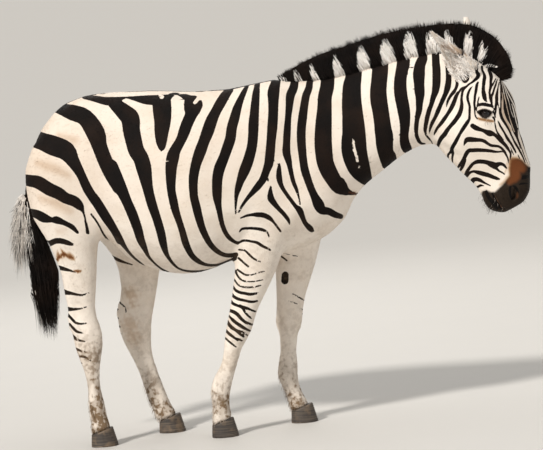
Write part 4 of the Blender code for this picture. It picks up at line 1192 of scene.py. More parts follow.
def refine(body, points):
    # smaller faces round the eyes and nostrils
    chosen = np.zeros(len(points), bool)
    halves = np.column_stack([points[:, 0], np.abs(points[:, 1]), points[:, 2]])
    for spot, reach in skin["fineSpots"]:
        chosen |= np.linalg.norm(halves - spot, axis=1) < reach
    bm = bmesh.new()
    bm.from_mesh(body.data)
    edges = [e for e in bm.edges if chosen[e.verts[0].index] and chosen[e.verts[1].index]]
    bmesh.ops.subdivide_edges(bm, edges=edges, cuts=1, use_grid_fill=True)
    bmesh.ops.triangulate(bm, faces=[f for f in bm.faces if len(f.verts) > 4])
    bm.to_mesh(body.data)
    bm.free()


def thin(body, points, normals):
    # fewer faces inside the stripes than along their edges
    x, y, z = points.T
    values = coatMarks(points, normals)
    edge = smoothStep(-np.abs(values["mark"]), -11.0, -4.0)
    edge = np.maximum(edge, smoothStep(values["brown"], 0.15, 0.30) * (x < -0.5) * (y < 0))
    shoulder = within(z, 0.78, 1.0) & within(x, -0.16, 0.24)
    flank = (z < 0.92) & within(x, -0.72, -0.42)
    elbow = (z < 0.80) & within(x, -0.20, 0.16)
    regions = {"legs": (z < legTop) | shoulder | flank | elbow, "head": (x > 0.59) & (z > 0.7)}
    levels = {name: inside + (atEdge - inside) * edge for name, (inside, atEdge) in skin["weights"].items()}
    weight = np.select(list(regions.values()), [levels[name] for name in regions], levels["trunk"])
    weight = np.round(weight, 2)
    group = body.vertex_groups.new(name="thinning")
    for value in np.unique(weight):
        group.add(np.flatnonzero(weight == value).tolist(), float(value), "REPLACE")
    applied(body, "TRIANGULATE")
    share = skin["faces"] / len(body.data.polygons)
    applied(body, "DECIMATE", ratio=share, vertex_group="thinning", vertex_group_factor=1.0)
    body.vertex_groups.clear()


def makeSkin():
    body = melted("zebra_skin", skin["solids"], skin["coarseGrain"], 8)
    smoothTorso(body)
    addEars(body)
    applied(body, "REMESH", mode="VOXEL", voxel_size=skin["fineGrain"])
    applied(body, "SMOOTH", factor=0.5, iterations=3)
    points, normals = readPoints(body.data)
    for first, second, width, rise in forms.values():
        pushAlong(points, normals, first, second, width, rise)
    pushLegs(points, normals)
    writePoints(body.data, points)
    refine(body, points)
    points, normals = readPoints(body.data)
    openEyes(points, normals)
    inset = skin["coatDepth"] * smoothStep(points[:, 2], 0.05, 0.5)
    inset *= np.where(points[:, 0] > 0.72, 0.35, 1.0)
    points -= normals * inset[:, None]
    writePoints(body.data, points)
    thin(body, points, normals)
    points, normals = readPoints(body.data)
    writeValues(body.data, coatMarks(points, normals))
    dress(body, coatFinish("coat", False))
    for name in skin["solids"]:
        if not name.startswith("eye"):
            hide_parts(name)
    for name in ears:
        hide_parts("ear_" + name)
    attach(body, "root")
    print("skin made,", len(body.data.polygons), "faces")
    return body


def makeEye(name):
    side = sides[name]
    cx, cz = eyes["centre"]
    centre = Vector((cx, side * eyes["across"], cz))
    ahead, up = eyes["look"]
    look = Vector((ahead, side, up)).normalized()
    bm = bmesh.new()
    bmesh.ops.create_uvsphere(bm, u_segments=48, v_segments=32, radius=eyes["radius"])
    ball = makeMesh("eyeball_" + name, bm)
    points, normals = readPoints(ball.data)
    x, y, facing = (points / eyes["radius"]).T
    bulge = eyes["bulge"] * smoothStep(facing, 0.72, 0.95)
    points += normals * bulge[:, None]
    iris = np.where(facing > 0, np.hypot(x, y) / eyes["irisReach"], 2)
    long, high = eyes["pupilReach"]
    pupil = np.where(facing > 0, np.hypot(x / long, y / high), 3)
    turn = look.to_track_quat("Z", "Y").to_matrix()
    points = points @ np.array(turn).T + np.array(centre)
    writePoints(ball.data, points)
    writeValues(ball.data, {"iris": iris, "pupil": pupil})
    dress(ball, eyeFinish())
    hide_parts("eye_" + name)
    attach(ball, "root")


hooves = {
    "names": ("fore_right", "fore_left", "hind_right", "hind_left"),
    "grain": 0.0026,
    "ridges": (0.0005, 900, 60),  # how high, and how close together up and along the hoof
    "soleBelow": 0.004,
}


def makeHoof(name, horn):
    hoof = melted("hoof_wall_" + name, ["hoof_" + name], hooves["grain"], 4)
    points, normals = readPoints(hoof.data)
    sideways = np.hypot(normals[:, 0], normals[:, 1])
    high, upward, along = hooves["ridges"]
    ridge = high * np.sin(points[:, 2] * upward + points[:, 0] * along) * smoothStep(sideways, 0.5, 0.9)
    points += normals * ridge[:, None]
    points[:, 2] = np.where(points[:, 2] < hooves["soleBelow"], 0.0, points[:, 2])
    writePoints(hoof.data, points)
    dress(hoof, horn)
    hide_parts("hoof_" + name)
    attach(hoof, "root")


# ---- hair ----
def lockShape(rings):
    # a thin closed lock along z, one long: a small ring, drawn out and closed at its tip
    bm = bmesh.new()
    bmesh.ops.create_circle(bm, cap_ends=True, segments=3, radius=0.5)
    edges = bm.edges[:]
    for ring in range(1, rings):
        out = bmesh.ops.extrude_edge_only(bm, edges=edges)
        fresh = [g for g in out["geom"] if isinstance(g, bmesh.types.BMVert)]
        edges = [g for g in out["geom"] if isinstance(g, bmesh.types.BMEdge)]
        share = ring / rings
        for v in fresh:
            flat = Vector((v.co.x, v.co.y, 0)).normalized()
            v.co = flat * (0.5 * (1 - share**2.2)) + Vector((0, 0, share))
    out = bmesh.ops.extrude_edge_only(bm, edges=edges)
    tipPoints = [g for g in out["geom"] if isinstance(g, bmesh.types.BMVert)]
    for v in tipPoints:
        v.co = Vector((0, 0, 1))
    bmesh.ops.remove_doubles(bm, verts=bm.verts, dist=0.1 * millimetre)
    bmesh.ops.recalc_face_normals(bm, faces=bm.faces)
    bmesh.ops.triangulate(bm, faces=bm.faces)
    bm.verts.ensure_lookup_table()
    points = np.array([v.co[:] for v in bm.verts])
    faces = np.array([[v.index for v in f.verts] for f in bm.faces])
    bm.free()
    return points, faces


def unwrapPlace(points):
    # where a point of the body lies on the body's own unwrap: trunk, head, ears and legs each have a part
    x, y, z = points.T
    u = 0.02 + 0.96 * np.clip((x + 1.0) / 1.8, 0, 1)
    middle = np.interp(x, [-0.9, -0.5, 0.1, 0.4, 0.75], [1.06, 0.98, 0.99, 1.15, 1.18])
    turn = np.arctan2(y, z - middle) / (2 * math.pi) + 0.5
    v = 0.44 + 0.54 * turn
    head = x > 0.72
    axis = np.array([0.15, 0.0, -0.45]) / np.hypot(0.15, 0.45)
    away = points - np.array([0.78, 0.0, 1.25])
    down = away @ axis
    across = away[:, 0] * 0.9487 + away[:, 2] * 0.3162
    u = np.where(head, 0.02 + 0.46 * np.clip((down + 0.08) / 0.62, 0, 1), u)
    v = np.where(head, 0.23 + 0.18 * (np.arctan2(y, across) / (2 * math.pi) + 0.5), v)
    for place, ear in enumerate(ears.values()):
        along, gap = alongEar(points, ear)
        own = (along > 0.12) & (gap < ear["reach"])
        turn = np.arctan2(x - ear["base"][0], y - ear["base"][1]) / (2 * math.pi) + 0.5
        u = np.where(own, 0.52 + 0.23 * place + 0.20 * turn, u)
        v = np.where(own, 0.23 + 0.18 * np.clip(along, 0, 1), v)
    leg = z < 0.66
    quarter = 2 * (x > betweenLegs) + (y > 0)
    spread = np.where(x > betweenLegs, 0.112, 0.115)
    lean = np.array([-0.72, -0.54, -0.18, 0.03])[quarter]
    turn = np.arctan2(x - lean, np.abs(y) - spread) / (2 * math.pi) + 0.5
    u = np.where(leg, 0.01 + 0.25 * quarter + 0.225 * turn, u)
    v = np.where(leg, 0.01 + 0.20 * np.clip(z / 0.66, 0, 1), v)
    return np.column_stack([u, v])


def plantLocks(name, roots, outward, along, lengths, widths, lift, finish, shape, values=None,
               flatness=0.5, droop=0.0, bend=None, colourAt=None):
    # one mesh of many locks: each lies along its own direction and rises from the coat
    base, faces = shape
    count, corners = len(roots), len(base)
    across = unit(np.cross(along, outward))
    rise = unit(np.cross(across, along))
    rise *= np.sign((rise * outward).sum(1))[:, None] + 1e-9
    share = base[:, 2]
    width = widths[:, None] * base[None, :, 0]
    thick = widths[:, None] * base[None, :, 1] * flatness
    height = lengths[:, None] * (np.sin(lift)[:, None] * share - droop * share**2) + thick
    forward = lengths[:, None] * np.cos(lift)[:, None] * share[None, :]
    points = roots[:, None, :] + along[:, None, :] * forward[..., None] + across[:, None, :] * width[..., None]
    points = points + rise[:, None, :] * height[..., None]
    if bend is not None:
        points = points + bend[:, None, :] * (share**2)[None, :, None]
    mesh = bpy.data.meshes.new(name)
    mesh.vertices.add(count * corners)
    mesh.vertices.foreach_set("co", points.astype(np.float32).ravel())
    loops = (faces[None] + (np.arange(count) * corners)[:, None, None]).reshape(-1)
    mesh.loops.add(len(loops))
    mesh.loops.foreach_set("vertex_index", loops.astype(np.int32))
    mesh.polygons.add(len(loops) // 3)
    mesh.polygons.foreach_set("loop_start", np.arange(0, len(loops), 3, dtype=np.int32))
    mesh.polygons.foreach_set("use_smooth", np.ones(len(loops) // 3, bool))
    mesh.update(calc_edges=True)
    patch = unwrapPlace(roots)[:, None, :] + 0.003 * np.stack([base[:, 0] * 0.5, share * 0.5 - 0.25], 1)[None]
    layer = mesh.uv_layers.new(name="OFBake")
    layer.uv.foreach_set("vector", patch.reshape(-1, 2)[loops].astype(np.float32).ravel())
    if colourAt is not None:
        found = colourAt(points.reshape(-1, 3), np.repeat(roots, corners, 0), np.tile(share, count))
    else:
        found = {}
        for key, (atRoot, atTip) in values.items():
            found[key] = (atRoot[:, None] * (1 - share) + atTip[:, None] * share).ravel()
    writeValues(mesh, found)
    piece = bpy.data.objects.new(name, mesh)
    sceneRoot.objects.link(piece)
    mesh.materials.append(finish)
    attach(piece, "root")
    return piece


coatHair = {
    "total": 78000,
    "perPiece": 13000,
    "lengths": {"trunk": 0.0110, "legs": 0.0088, "head": 0.0066, "feet": 0.0090},
    "widths": {"trunk": 0.0025, "legs": 0.0018, "head": 0.0014, "feet": 0.0017},
    "density": {"trunk": 1.0, "legs": 2.1, "head": 3.6},
    "lift": 10.0,
}


def coatLie(points, normals):
    # which way the short hair lies
    x, y, z = points.T
    lie = np.zeros_like(points)
    lie[:, 0], lie[:, 2] = -1.0, -0.35
    neck = smoothStep(x, 0.15, 0.40)
    lie[:, 0] += neck * 0.35
    lie[:, 2] -= neck * 0.25
    head = smoothStep(x, 0.66, 0.80)[:, None] * smoothStep(-z, -1.34, -1.24)[:, None]
    lie = lie * (1 - head) + np.array([0.28, 0, -1.0]) * head
    leg = smoothStep(-z, -0.95, -0.66)[:, None] * (np.abs(y) > 0.03)[:, None] * (x < 0.6)[:, None]
    leg = leg * np.maximum(smoothStep(np.abs(x + 0.30), 0.16, 0.30), smoothStep(-z, -0.62, -0.58))[:, None]
    lie = lie * (1 - leg) + np.array([-0.08, 0, -1.0]) * leg
    for ear in ears.values():
        share, gap = alongEar(points, ear)
        span = np.subtract(ear["tip"], ear["base"])
        lie[(share > 0.1) & (gap < ear["reach"])] = span / np.linalg.norm(span)
    lie -= normals * (lie * normals).sum(1)[:, None]
    return unit(lie)


def sampleSkin(body, count, density):
    mesh = body.data
    points, normals = readPoints(mesh)
    tri = np.empty(len(mesh.polygons) * 3, np.int32)
    mesh.polygons.foreach_get("vertices", tri)
    tri = tri.reshape(-1, 3)
    a, b, c = points[tri[:, 0]], points[tri[:, 1]], points[tri[:, 2]]
    area = np.linalg.norm(np.cross(b - a, c - a), axis=1)
    chance = area * density((a + b + c) / 3)
    steps = np.cumsum(chance)
    picked = np.searchsorted(steps, (np.arange(count) + rng.random(count)) / count * steps[-1])
    picked = np.minimum(picked, len(tri) - 1)
    u, v = rng.random(count), rng.random(count)
    flip = u + v > 1
    u[flip], v[flip] = 1 - u[flip], 1 - v[flip]
    weights = np.column_stack([1 - u - v, u, v])
    roots = (points[tri[picked]] * weights[..., None]).sum(1)
    outward = (normals[tri[picked]] * weights[..., None]).sum(1)
    return roots, unit(outward)


def evenly(values):
    # the same values from root to tip
    return {key: (value, value) for key, value in values.items()}


def longHair(mark, brown, mud=0.0, upright=1.0):
    # the values of hair that stands away from the skin
    nothing = np.zeros(len(mark))
    return {"mark": mark, "mud": nothing + mud, "brown": nothing + brown, "bare": nothing, "inner": nothing,
            "upright": nothing + upright}


def makeCoatHair(body):
    density = coatHair["density"]

    def dense(centre):
        x, z = centre[:, 0], centre[:, 2]
        value = np.where(z < legTop, density["legs"], density["trunk"])
        value = np.where((x > 0.68) & (z > 0.7), density["head"], value)
        gap = np.hypot(x - eyes["centre"][0], z - eyes["centre"][1])
        value = np.where((gap < 0.024) & (np.abs(centre[:, 1]) > 0.05), 0.0, value)
        return np.where((x > 0.88) & (z < 0.86), 0.9, value)

    roots, outward = sampleSkin(body, coatHair["total"], dense)
    along = coatLie(roots, outward)
    along += rng.normal(0, 0.13, along.shape)
    along -= outward * (along * outward).sum(1)[:, None]
    along = unit(along)
    x, z = roots[:, 0], roots[:, 2]
    shares = {"legs": smoothStep(-z, -0.70, -0.55), "head": smoothStep(x, 0.62, 0.74) * (z > 0.7),
              "feet": smoothStep(-z, -0.30, -0.15)}
    sizes = {}
    for kind in ("lengths", "widths"):
        table = coatHair[kind]
        value = np.full(len(roots), table["trunk"])
        for place, share in shares.items():
            value += (table[place] - value) * share
        sizes[kind] = value * rng.uniform(0.7, 1.25, len(roots))
    values = coatMarks(roots, outward)
    tipValues = coatMarks(roots + along * sizes["lengths"][:, None] * 0.9, outward)
    for table in (values, tipValues):
        table["mud"] = table["mud"] * rng.uniform(0.3, 1.2, len(roots))
    values = {key: (values[key], tipValues[key]) for key in values}
    lift = np.radians(coatHair["lift"]) * rng.uniform(0.6, 1.5, len(roots))
    finish = coatFinish("coat_hair", True)
    shape = lockShape(2)
    order = rng.permutation(len(roots))
    sunk = roots - outward * 0.0008
    for number, start in enumerate(range(0, len(roots), coatHair["perPiece"])):
        part = order[start:start + coatHair["perPiece"]]
        plantLocks("coat_hair_%d" % (number + 1), sunk[part], outward[part], along[part],
                   sizes["lengths"][part], sizes["widths"][part], lift[part], finish, shape,
                   {key: (a[part], b[part]) for key, (a, b) in values.items()}, flatness=0.35, droop=0.10)
    print("coat hair planted,", len(roots), "locks")


earHair = {"locks": 2600, "length": (0.016, 0.036), "width": 0.0034}


def makeEarHair(body):
    # long pale hair that fills the ears and fringes their edges
    def inEar(centre):
        value = np.zeros(len(centre))
        for ear in ears.values():
            share, gap = alongEar(centre, ear)
            value = np.maximum(value, within(share, 0.06, 1.02) & (gap < ear["reach"]))
        return value

    count = earHair["locks"]
    roots, outward = sampleSkin(body, count, inEar)
    right = roots[:, 1:2] < 0
    feet, tips, openings = [np.where(right, ears["right"][part], ears["left"][part])
                            for part in ("base", "tip", "opening")]
    spans = np.linalg.norm(tips - feet, axis=1)
    axes = (tips - feet) / spans[:, None]
    facing = (outward * openings).sum(1)
    share = ((roots - feet) * axes).sum(1) / spans
    atEdge = np.exp(-((facing / 0.35) ** 2))[:, None]
    along = axes + outward * (0.30 + 0.7 * atEdge) + rng.normal(0, 0.20, axes.shape)
    along -= outward * (along * outward).sum(1)[:, None] * 0.6
    along = unit(along)
    lengths = rng.uniform(*earHair["length"], count) * np.where(facing > 0.1, 1.0, 0.55)
    lengths *= 1 - 0.7 * smoothStep(share, 0.55, 0.95)
    values = coatMarks(roots, outward)
    values["mark"] = np.where(values["mark"] > 0, 3.0, -9.0)
    values["inner"] = rng.random(count) * 0.2
    values["brown"] = np.maximum(values["brown"], rng.random(count) ** 4 * 0.3)
    plantLocks("ear_hair", roots - outward * 0.001, outward, along, lengths,
               earHair["width"] * rng.uniform(0.6, 1.2, count), np.radians(rng.uniform(6, 24, count)),
               coatFinish("ear_fringe", True, 1.0), lockShape(3), evenly(values),
               flatness=0.4, droop=0.12)
    print("ears filled,", count, "locks")


# Single hairs: where they stand, how they point, how long and thick they are, and their colour.
fineHair = {
    "lashes": {"count": 46, "length": (0.009, 0.015), "width": 0.0011, "aim": (0, 1.0, -0.35)},
    "lip": {"count": 70, "length": (0.014, 0.034), "width": 0.0007, "aim": (0.25, 0.8, -0.7),
            "place": ((0.865, 0.965), (0.02, 0.06), (0.765, 0.850))},
    "chin": {"count": 90, "length": (0.014, 0.036), "width": 0.0007, "aim": (-0.35, 0.3, -0.9),
             "place": ((0.805, 0.868), (0.0, 0.045), (0.760, 0.835))},
    "brow": {"count": 10, "length": (0.020, 0.035), "width": 0.0006, "aim": (0, 1.0, -0.5)},
}


def nearestSkin(points, normals, wanted):
    spots = [np.argmin(((points - w) ** 2).sum(1)) for w in wanted]
    return points[spots], normals[spots]


def makeFineHair(body):
    points, normals = readPoints(body.data)
    keep = points[:, 0] > 0.78
    points, normals = points[keep], normals[keep]
    roots, outward, along, lengths, widths, dark = [], [], [], [], [], []
    cx, cz = eyes["centre"]
    for side in (-1, 1):
        for kind, hair in fineHair.items():
            count = hair["count"]
            share = (np.arange(count) + rng.random(count)) / count
            outwards = np.full(count, side * 0.1)
            aim = np.tile(hair["aim"], (count, 1)) * (1, side, 1)
            if kind == "lashes":
                x = cx + eyes["rear"][0] + (eyes["front"][0] - eyes["rear"][0]) * (0.12 + 0.8 * share)
                z = cz + 0.0075 + 0.007 * np.sin(np.pi * share) - 0.004 * share
                wanted = np.column_stack([x, outwards, z])
                aim[:, 0] = 0.35 * (share - 0.3)
            elif kind == "brow":
                wanted = np.column_stack([cx - 0.01 + 0.03 * share, outwards, np.full(count, cz - 0.03)])
            else:
                wanted = np.column_stack([rng.uniform(*reach, count) for reach in hair["place"]]) * (1, side, 1)
            found, facing = nearestSkin(points, normals, wanted)
            aim = aim + facing * 0.5 + rng.normal(0, 0.16, aim.shape)
            roots.append(found - facing * 0.001)
            outward.append(facing)
            along.append(unit(aim))
            lengths.append(rng.uniform(*hair["length"], count))
            widths.append(np.full(count, hair["width"]))
            dark.append(np.where(rng.random(count) < (0.93 if kind == "chin" else 1.0), 9.0, -9.0))
    roots, outward, along = np.vstack(roots), np.vstack(outward), np.vstack(along)
    lengths, widths, dark = np.concatenate(lengths), np.concatenate(widths), np.concatenate(dark)
    values = longHair(dark, 0.04, upright=0)
    plantLocks("whiskers_and_lashes", roots, outward, along, lengths, widths, np.full(len(roots), 0.05),
               coatFinish("single_hairs", True), lockShape(3), evenly(values),
               flatness=1.0, droop=0.10)
    print("whiskers and lashes planted,", len(roots))


heelHair = {"tries": 1280, "length": (0.014, 0.028), "width": 0.0026}


def makeHeelHair(body):
    # the longer hair behind the fetlocks and over the hooves
    def atHeel(centre):
        z = centre[:, 2]
        return within(z, 0.035, 0.20) * (1.0 + 2.0 * (z < 0.075))

    roots, outward = sampleSkin(body, heelHair["tries"], atHeel)
    back = (outward[:, 0] < -0.1) | (roots[:, 2] < 0.075)
    roots, outward = roots[back], outward[back]
    count = len(roots)
    along = np.array([-0.15, 0, -1.0]) + rng.normal(0, 0.10, (count, 3)) + outward * 0.12
    along = unit(along)
    lengths = rng.uniform(*heelHair["length"], count) * np.where(roots[:, 2] < 0.075, 0.7, 1.0)
    lengths = np.minimum(lengths, (roots[:, 2] - 0.010) * 0.9)
    values = coatMarks(roots, outward)
    plantLocks("heel_hair", roots - outward * 0.001, outward, along, lengths,
               heelHair["width"] * rng.uniform(0.6, 1.2, count), np.radians(rng.uniform(2, 10, count)),
               coatFinish("heel_fringe", True), lockShape(3), evenly(values),
               flatness=0.5, droop=0.05)
    print("heel hair planted,", count, "locks")


# ---- mane ----
coreGrain = 0.004  # of the solid cores inside the mane and the tail
mane = {
    # tips, roots and half the thickness along the crest, from the withers to the forelock
    "rows": [((0.070, 1.332), (0.085, 1.298), 0.010), ((0.150, 1.374), (0.190, 1.290), 0.016),
             ((0.236, 1.411), (0.290, 1.296), 0.019), ((0.336, 1.438), (0.400, 1.314), 0.021),
             ((0.450, 1.468), (0.515, 1.336), 0.022), ((0.590, 1.486), (0.620, 1.350), 0.022),
             ((0.745, 1.488), (0.735, 1.350), 0.023), ((0.826, 1.472), (0.782, 1.330), 0.024),
             ((0.894, 1.424), (0.822, 1.300), 0.024), ((0.940, 1.352), (0.852, 1.276), 0.023),
             ((0.960, 1.284), (0.878, 1.254), 0.019), ((0.944, 1.250), (0.893, 1.243), 0.008)],
    "locks": 9000,
    "width": 0.0034,
    "plane": 30,
    "light": [
        [(105, 1285, 12), (94, 1312, 10), (80, 1335, 3)],
        [(163, 1285, 12), (150, 1320, 10), (135, 1346, 3)],
        [(222, 1285, 12), (212, 1325, 12), (198, 1362, 4)],
        [(307, 1290, 19), (303, 1330, 18), (296, 1365, 13), (290, 1388, 5)],
        [(408, 1300, 19), (402, 1340, 21), (394, 1380, 20), (390, 1408, 10)],
        [(490.5, 1235.8, 13.3), (497, 1291, 13), (500.7, 1312, 12.8), (500, 1329.7, 18), (497.7, 1346.9, 22.3),
         (493, 1369, 24), (487, 1391, 24), (484.5, 1408, 20.5), (485, 1421, 14)],
        [(566, 1230, 13), (566, 1262, 13.6), (568, 1294, 10.9), (573.6, 1314.7, 10), (579.5, 1331.6, 10.5),
         (583.6, 1352.7, 18), (582, 1370, 21), (577.4, 1391.7, 22.6), (575, 1417.7, 22.3), (574, 1439, 15)],
        [(628, 1224, 12), (634.5, 1256, 11), (636.5, 1309, 10), (639, 1331, 9), (648.5, 1351, 9.5),
         (657, 1372, 20), (661, 1393, 26), (656, 1415, 22), (650, 1432, 14)],
        [(685, 1252, 10), (690, 1305, 9), (692, 1322, 5)],
        [(726, 1390, 12), (721, 1420, 12), (713, 1444, 7)],
        [(790, 1350, 11), (792, 1385, 16), (797, 1425, 13)],
        [(832, 1335, 9), (838, 1368, 9), (846, 1394, 5)],
        [(838, 1340, 8), (862, 1372, 5)],
    ],
    "cream": [(844.7, 1276.3, 4), (845.5, 1299.8, 5), (863.2, 1305.8, 5), (882, 1300, 4), (897, 1295.5, 2)],
}


def maneColours(points, roots, share):
    flat = carried(points, mane["plane"], -np.abs(points[:, 1]))
    own = np.sin(roots[:, 0] * 9100 + roots[:, 1] * 7300)
    spike = 0.5 + 0.5 * np.sin(roots[:, 0] * 5300 - roots[:, 1] * 9700)
    cream = strokeValue(flat, [mane["cream"]])
    flat[:, 1] += own * 5 + spike**3 * 26
    flat[:, 0] += own * 2.2
    light = np.maximum(strokeValue(flat, mane["light"]), cream)
    tipDark = (share - 0.86) * 60
    mark = np.maximum(-light, tipDark)
    rust = smoothStep(share, 0.75, 1.0) * 0.04 * rng.random(len(points))
    rust += 0.10 * smoothStep(-share, -0.45, -0.05)
    return longHair(mark, rust)


def maneCore():
    core = melted("mane_core", ["mane"], coreGrain, 6)
    points, normals = readPoints(core.data)
    points -= normals * 0.0075
    points[:, 2] -= 0.010 * smoothStep(points[:, 2], 1.36, 1.46)
    writePoints(core.data, points)
    writeValues(core.data, maneColours(points, points, np.zeros(len(points))))
    dress(core, coatFinish("mane_core", False, 1.0))
    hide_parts("mane")
    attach(core, "root")


def makeMane():
    maneCore()
    rows = np.array([(*tip, *root, half) for tip, root, half in mane["rows"]])
    steps = np.concatenate([[0], np.cumsum(np.hypot(*np.diff((rows[:, :2] + rows[:, 2:4]) / 2, axis=0).T))])
    count = mane["locks"]
    place = rng.random(count) * steps[-1]
    row = np.column_stack([np.interp(place, steps, rows[:, k]) for k in range(5)])
    across = rng.uniform(-1, 1, count)
    low = rng.random(count) ** 1.6 * 0.72
    start = row[:, 2:4] * (1 - low[:, None]) + row[:, :2] * low[:, None]
    reach = np.where(rng.random(count) < 0.35, 1.0, rng.uniform(0.35, 0.9, count))
    reach = low + (1 - low) * reach
    reach *= 1 - 0.10 * np.abs(across)
    end = row[:, 2:4] * (1 - reach[:, None]) + row[:, :2] * reach[:, None]
    end += rng.normal(0, 0.004, end.shape)
    end[:, 0] += 0.005 * np.sin(place * 95)
    half = row[:, 4] * (1 - 0.45 * low)
    y = across * (half - 0.002)
    roots = np.column_stack([start[:, 0], y, start[:, 1]])
    tips = np.column_stack([end[:, 0], y * 0.85 + rng.normal(0, 0.002, count), end[:, 1]])
    span = tips - roots
    lengths = np.linalg.norm(span, axis=1)
    along = span / lengths[:, None]
    outward = np.column_stack([np.zeros(count), np.sign(across) + 0.01, np.zeros(count)])
    widths = mane["width"] * rng.uniform(0.6, 1.3, count)
    bend = rng.normal(0, 0.0035, (count, 3)) * np.array([1, 0.5, 0.4])
    shape = lockShape(4)
    finish = coatFinish("mane_hair", True, 1.0)
    half = count // 2
    for number in range(2):
        part = slice(number * half, (number + 1) * half)
        plantLocks("mane_hair_%d" % (number + 1), roots[part], outward[part], along[part], lengths[part],
                   widths[part], np.zeros(half), finish, shape, flatness=0.6, bend=bend[part],
                   colourAt=maneColours)
    print("mane planted,", count, "locks")


# ---- tail ----
tail = {
    # rear edge, front edge and half the thickness, from the dock down to the tip
    "hair": [((-0.956, 0.968), (-0.908, 0.955), 0.026), ((-0.972, 0.890), (-0.893, 0.875), 0.031),
             ((-0.986, 0.770), (-0.866, 0.760), 0.042), ((-0.984, 0.670), (-0.850, 0.660), 0.044),
             ((-0.958, 0.570), (-0.840, 0.560), 0.034), ((-0.905, 0.478), (-0.845, 0.474), 0.016)],
    # heights, and x or how far x is moved there
    "rearMoved": ((0.48, 0.58, 0.66, 0.77, 0.89, 0.97), (-0.004, 0.006, 0.016, 0.010, 0.012, 0.016)),
    "frontMoved": ((0.48, 0.58, 0.66, 0.77, 0.89, 0.97), (0.000, 0.022, 0.034, 0.022, 0.008, 0.010)),
    "coreFront": ((0.48, 0.57, 0.67, 0.77, 0.89, 0.97), (-0.85, -0.82, -0.82, -0.85, -0.89, -0.90)),
    "paleBehind": ((0.50, 0.66, 0.77, 0.89, 0.97), (-0.90, -0.94, -0.935, -0.93, -0.94)),
    "coreInset": 0.007,
    "coreShare": {"along": 0.62, "across": 0.7, "below": (0.66, 0.35)},
    "groups": {
        "switch": {"bright": 0.2, "locks": 3400, "spread": 0, "inner": 0.10, "clumps": 30, "gather": 0.50,
                   "inset": 0.030, "from": (0.58, 0.95), "length": (0.18, 0.38), "lowest": 0.408,
                   "scatter": 0.007, "flare": 0.006, "width": 0.0030, "dark": 0.985, "darkTips": 0.0,
                   "brown": (0.0, 0.05)},
        "fringe": {"bright": 0.9, "locks": 2700, "spread": 0.60, "inner": 0.80, "clumps": 60, "gather": 0.15,
                   "inset": 0.0, "from": (0.80, 0.965), "length": (0.08, 0.19), "lowest": 0.62,
                   "scatter": 0.011, "flare": -0.028, "width": 0.0025, "dark": 0.13, "darkTips": 0.22,
                   "brown": (0.0, 0.14)},
    },
}


def tailColours(points):
    x, y, z = points.T
    outer = np.interp(z, *tail["paleBehind"])
    jitter = np.sin(x * 3000 + y * 2100) * 0.008
    pale = smoothStep(outer - x + jitter, -0.004, 0.010) * smoothStep(z, 0.68, 0.78) * 0.7
    return longHair(6 - 12 * pale, 0.01, 0.2 * pale)


def tailCore():
    core = melted("tail_core", ["tail_hair"], coreGrain, 6)
    points, normals = readPoints(core.data)
    points -= normals * tail["coreInset"]
    share = tail["coreShare"]
    points[:, 0] += np.interp(points[:, 2], *tail["frontMoved"])
    front = np.interp(points[:, 2], *tail["coreFront"])
    points[:, 0] = front + (points[:, 0] - front) * share["along"]
    bend, kept = share["below"]
    points[:, 2] = np.where(points[:, 2] < bend, bend - (bend - points[:, 2]) * kept, points[:, 2])
    points[:, 1] *= share["across"]
    writePoints(core.data, points)
    writeValues(core.data, tailColours(points))
    dress(core, coatFinish("tail_core", False))
    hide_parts("tail_hair")
    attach(core, "root")


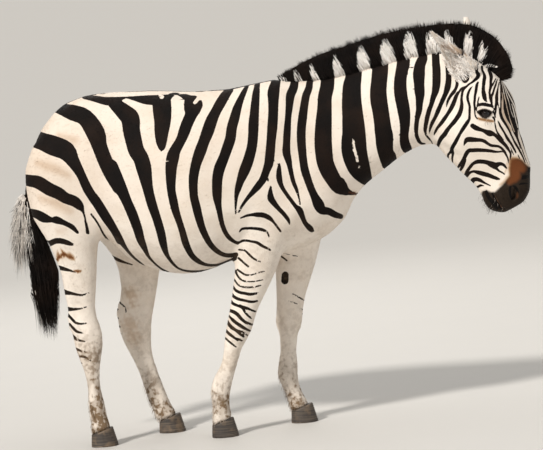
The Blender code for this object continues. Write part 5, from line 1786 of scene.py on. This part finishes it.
def makeTail():
    tailCore()
    rows = np.array([(*rear, *front, half) for rear, front, half in tail["hair"]])
    heights = (rows[:, 1] + rows[:, 3]) / 2
    order = np.argsort(heights)

    def at(z, out, turn, inset=0.0):
        row = [np.interp(z, heights[order], rows[order, k]) for k in (0, 2, 4)]
        rear = row[0] + np.interp(z, *tail["rearMoved"]) + inset * smoothStep(z, 0.50, 0.70)
        front = row[1] + np.interp(z, *tail["frontMoved"])
        x = (rear + front) / 2 + (front - rear) / 2 * out * np.cos(turn)
        return np.column_stack([x, row[2] * out * np.sin(turn), z])

    for kind, hair in tail["groups"].items():
        count = hair["locks"]
        if hair["spread"]:
            turn = rng.normal(math.pi, hair["spread"], count)
        else:
            turn = rng.uniform(0, 2 * math.pi, count)
        out = np.sqrt(rng.uniform(hair["inner"], 1.0, count))
        startZ = rng.uniform(*hair["from"], count)
        endZ = startZ - rng.uniform(*hair["length"], count)
        endZ = np.maximum(endZ, hair["lowest"] + rng.random(count) ** 1.5 * 0.13)
        roots = at(startZ, out * 0.9, turn, hair["inset"])
        clump = rng.integers(0, hair["clumps"], count)
        endZ += rng.uniform(-0.02, 0.09, hair["clumps"])[clump]
        tips = at(np.maximum(endZ, 0.479), out, turn + rng.normal(0, 0.25, count), hair["inset"])
        for k in range(hair["clumps"]):
            own = clump == k
            middle = tips[own].mean(0) + rng.normal(0, 0.018, 3) * np.array([1, 0.7, 0])
            tips[own] += (middle - tips[own]) * hair["gather"]
        tips[:, 2] = endZ
        tips += rng.normal(0, hair["scatter"], tips.shape) * np.array([1, 0.8, 0.3])
        tips[:, 0] += hair["flare"] * rng.random(count)
        span = tips - roots
        lengths = np.linalg.norm(span, axis=1)
        outward = np.column_stack([np.cos(turn), np.sin(turn), np.zeros(count)])
        bend = at((startZ + endZ) / 2, out, turn, hair["inset"]) - (roots + tips) / 2
        bend = np.clip(bend, -0.02, 0.02) * 0.5
        dark = np.where(rng.random(count) < hair["dark"], 8.0, -8.0)
        lower = np.where(rng.random(count) < hair["darkTips"], 8.0, dark)
        values = longHair(dark, rng.uniform(*hair["brown"], count))
        values = evenly(values) | {"mark": (dark, lower)}
        plantLocks("tail_" + kind, roots, outward, span / lengths[:, None], lengths,
                   hair["width"] * rng.uniform(0.5, 1.3, count), np.zeros(count),
                   coatFinish("tail_" + kind, True, hair["bright"]), lockShape(5), values,
                   flatness=0.6, bend=bend)
    print("tail planted")


makeStudio()
body = makeSkin()
for name in sides:
    makeEye(name)
horn = hoofFinish()
for name in hooves["names"]:
    makeHoof(name, horn)
print("eyes and hooves made")
makeCoatHair(body)
makeEarHair(body)
makeFineHair(body)
makeHeelHair(body)
makeMane()
makeTail()
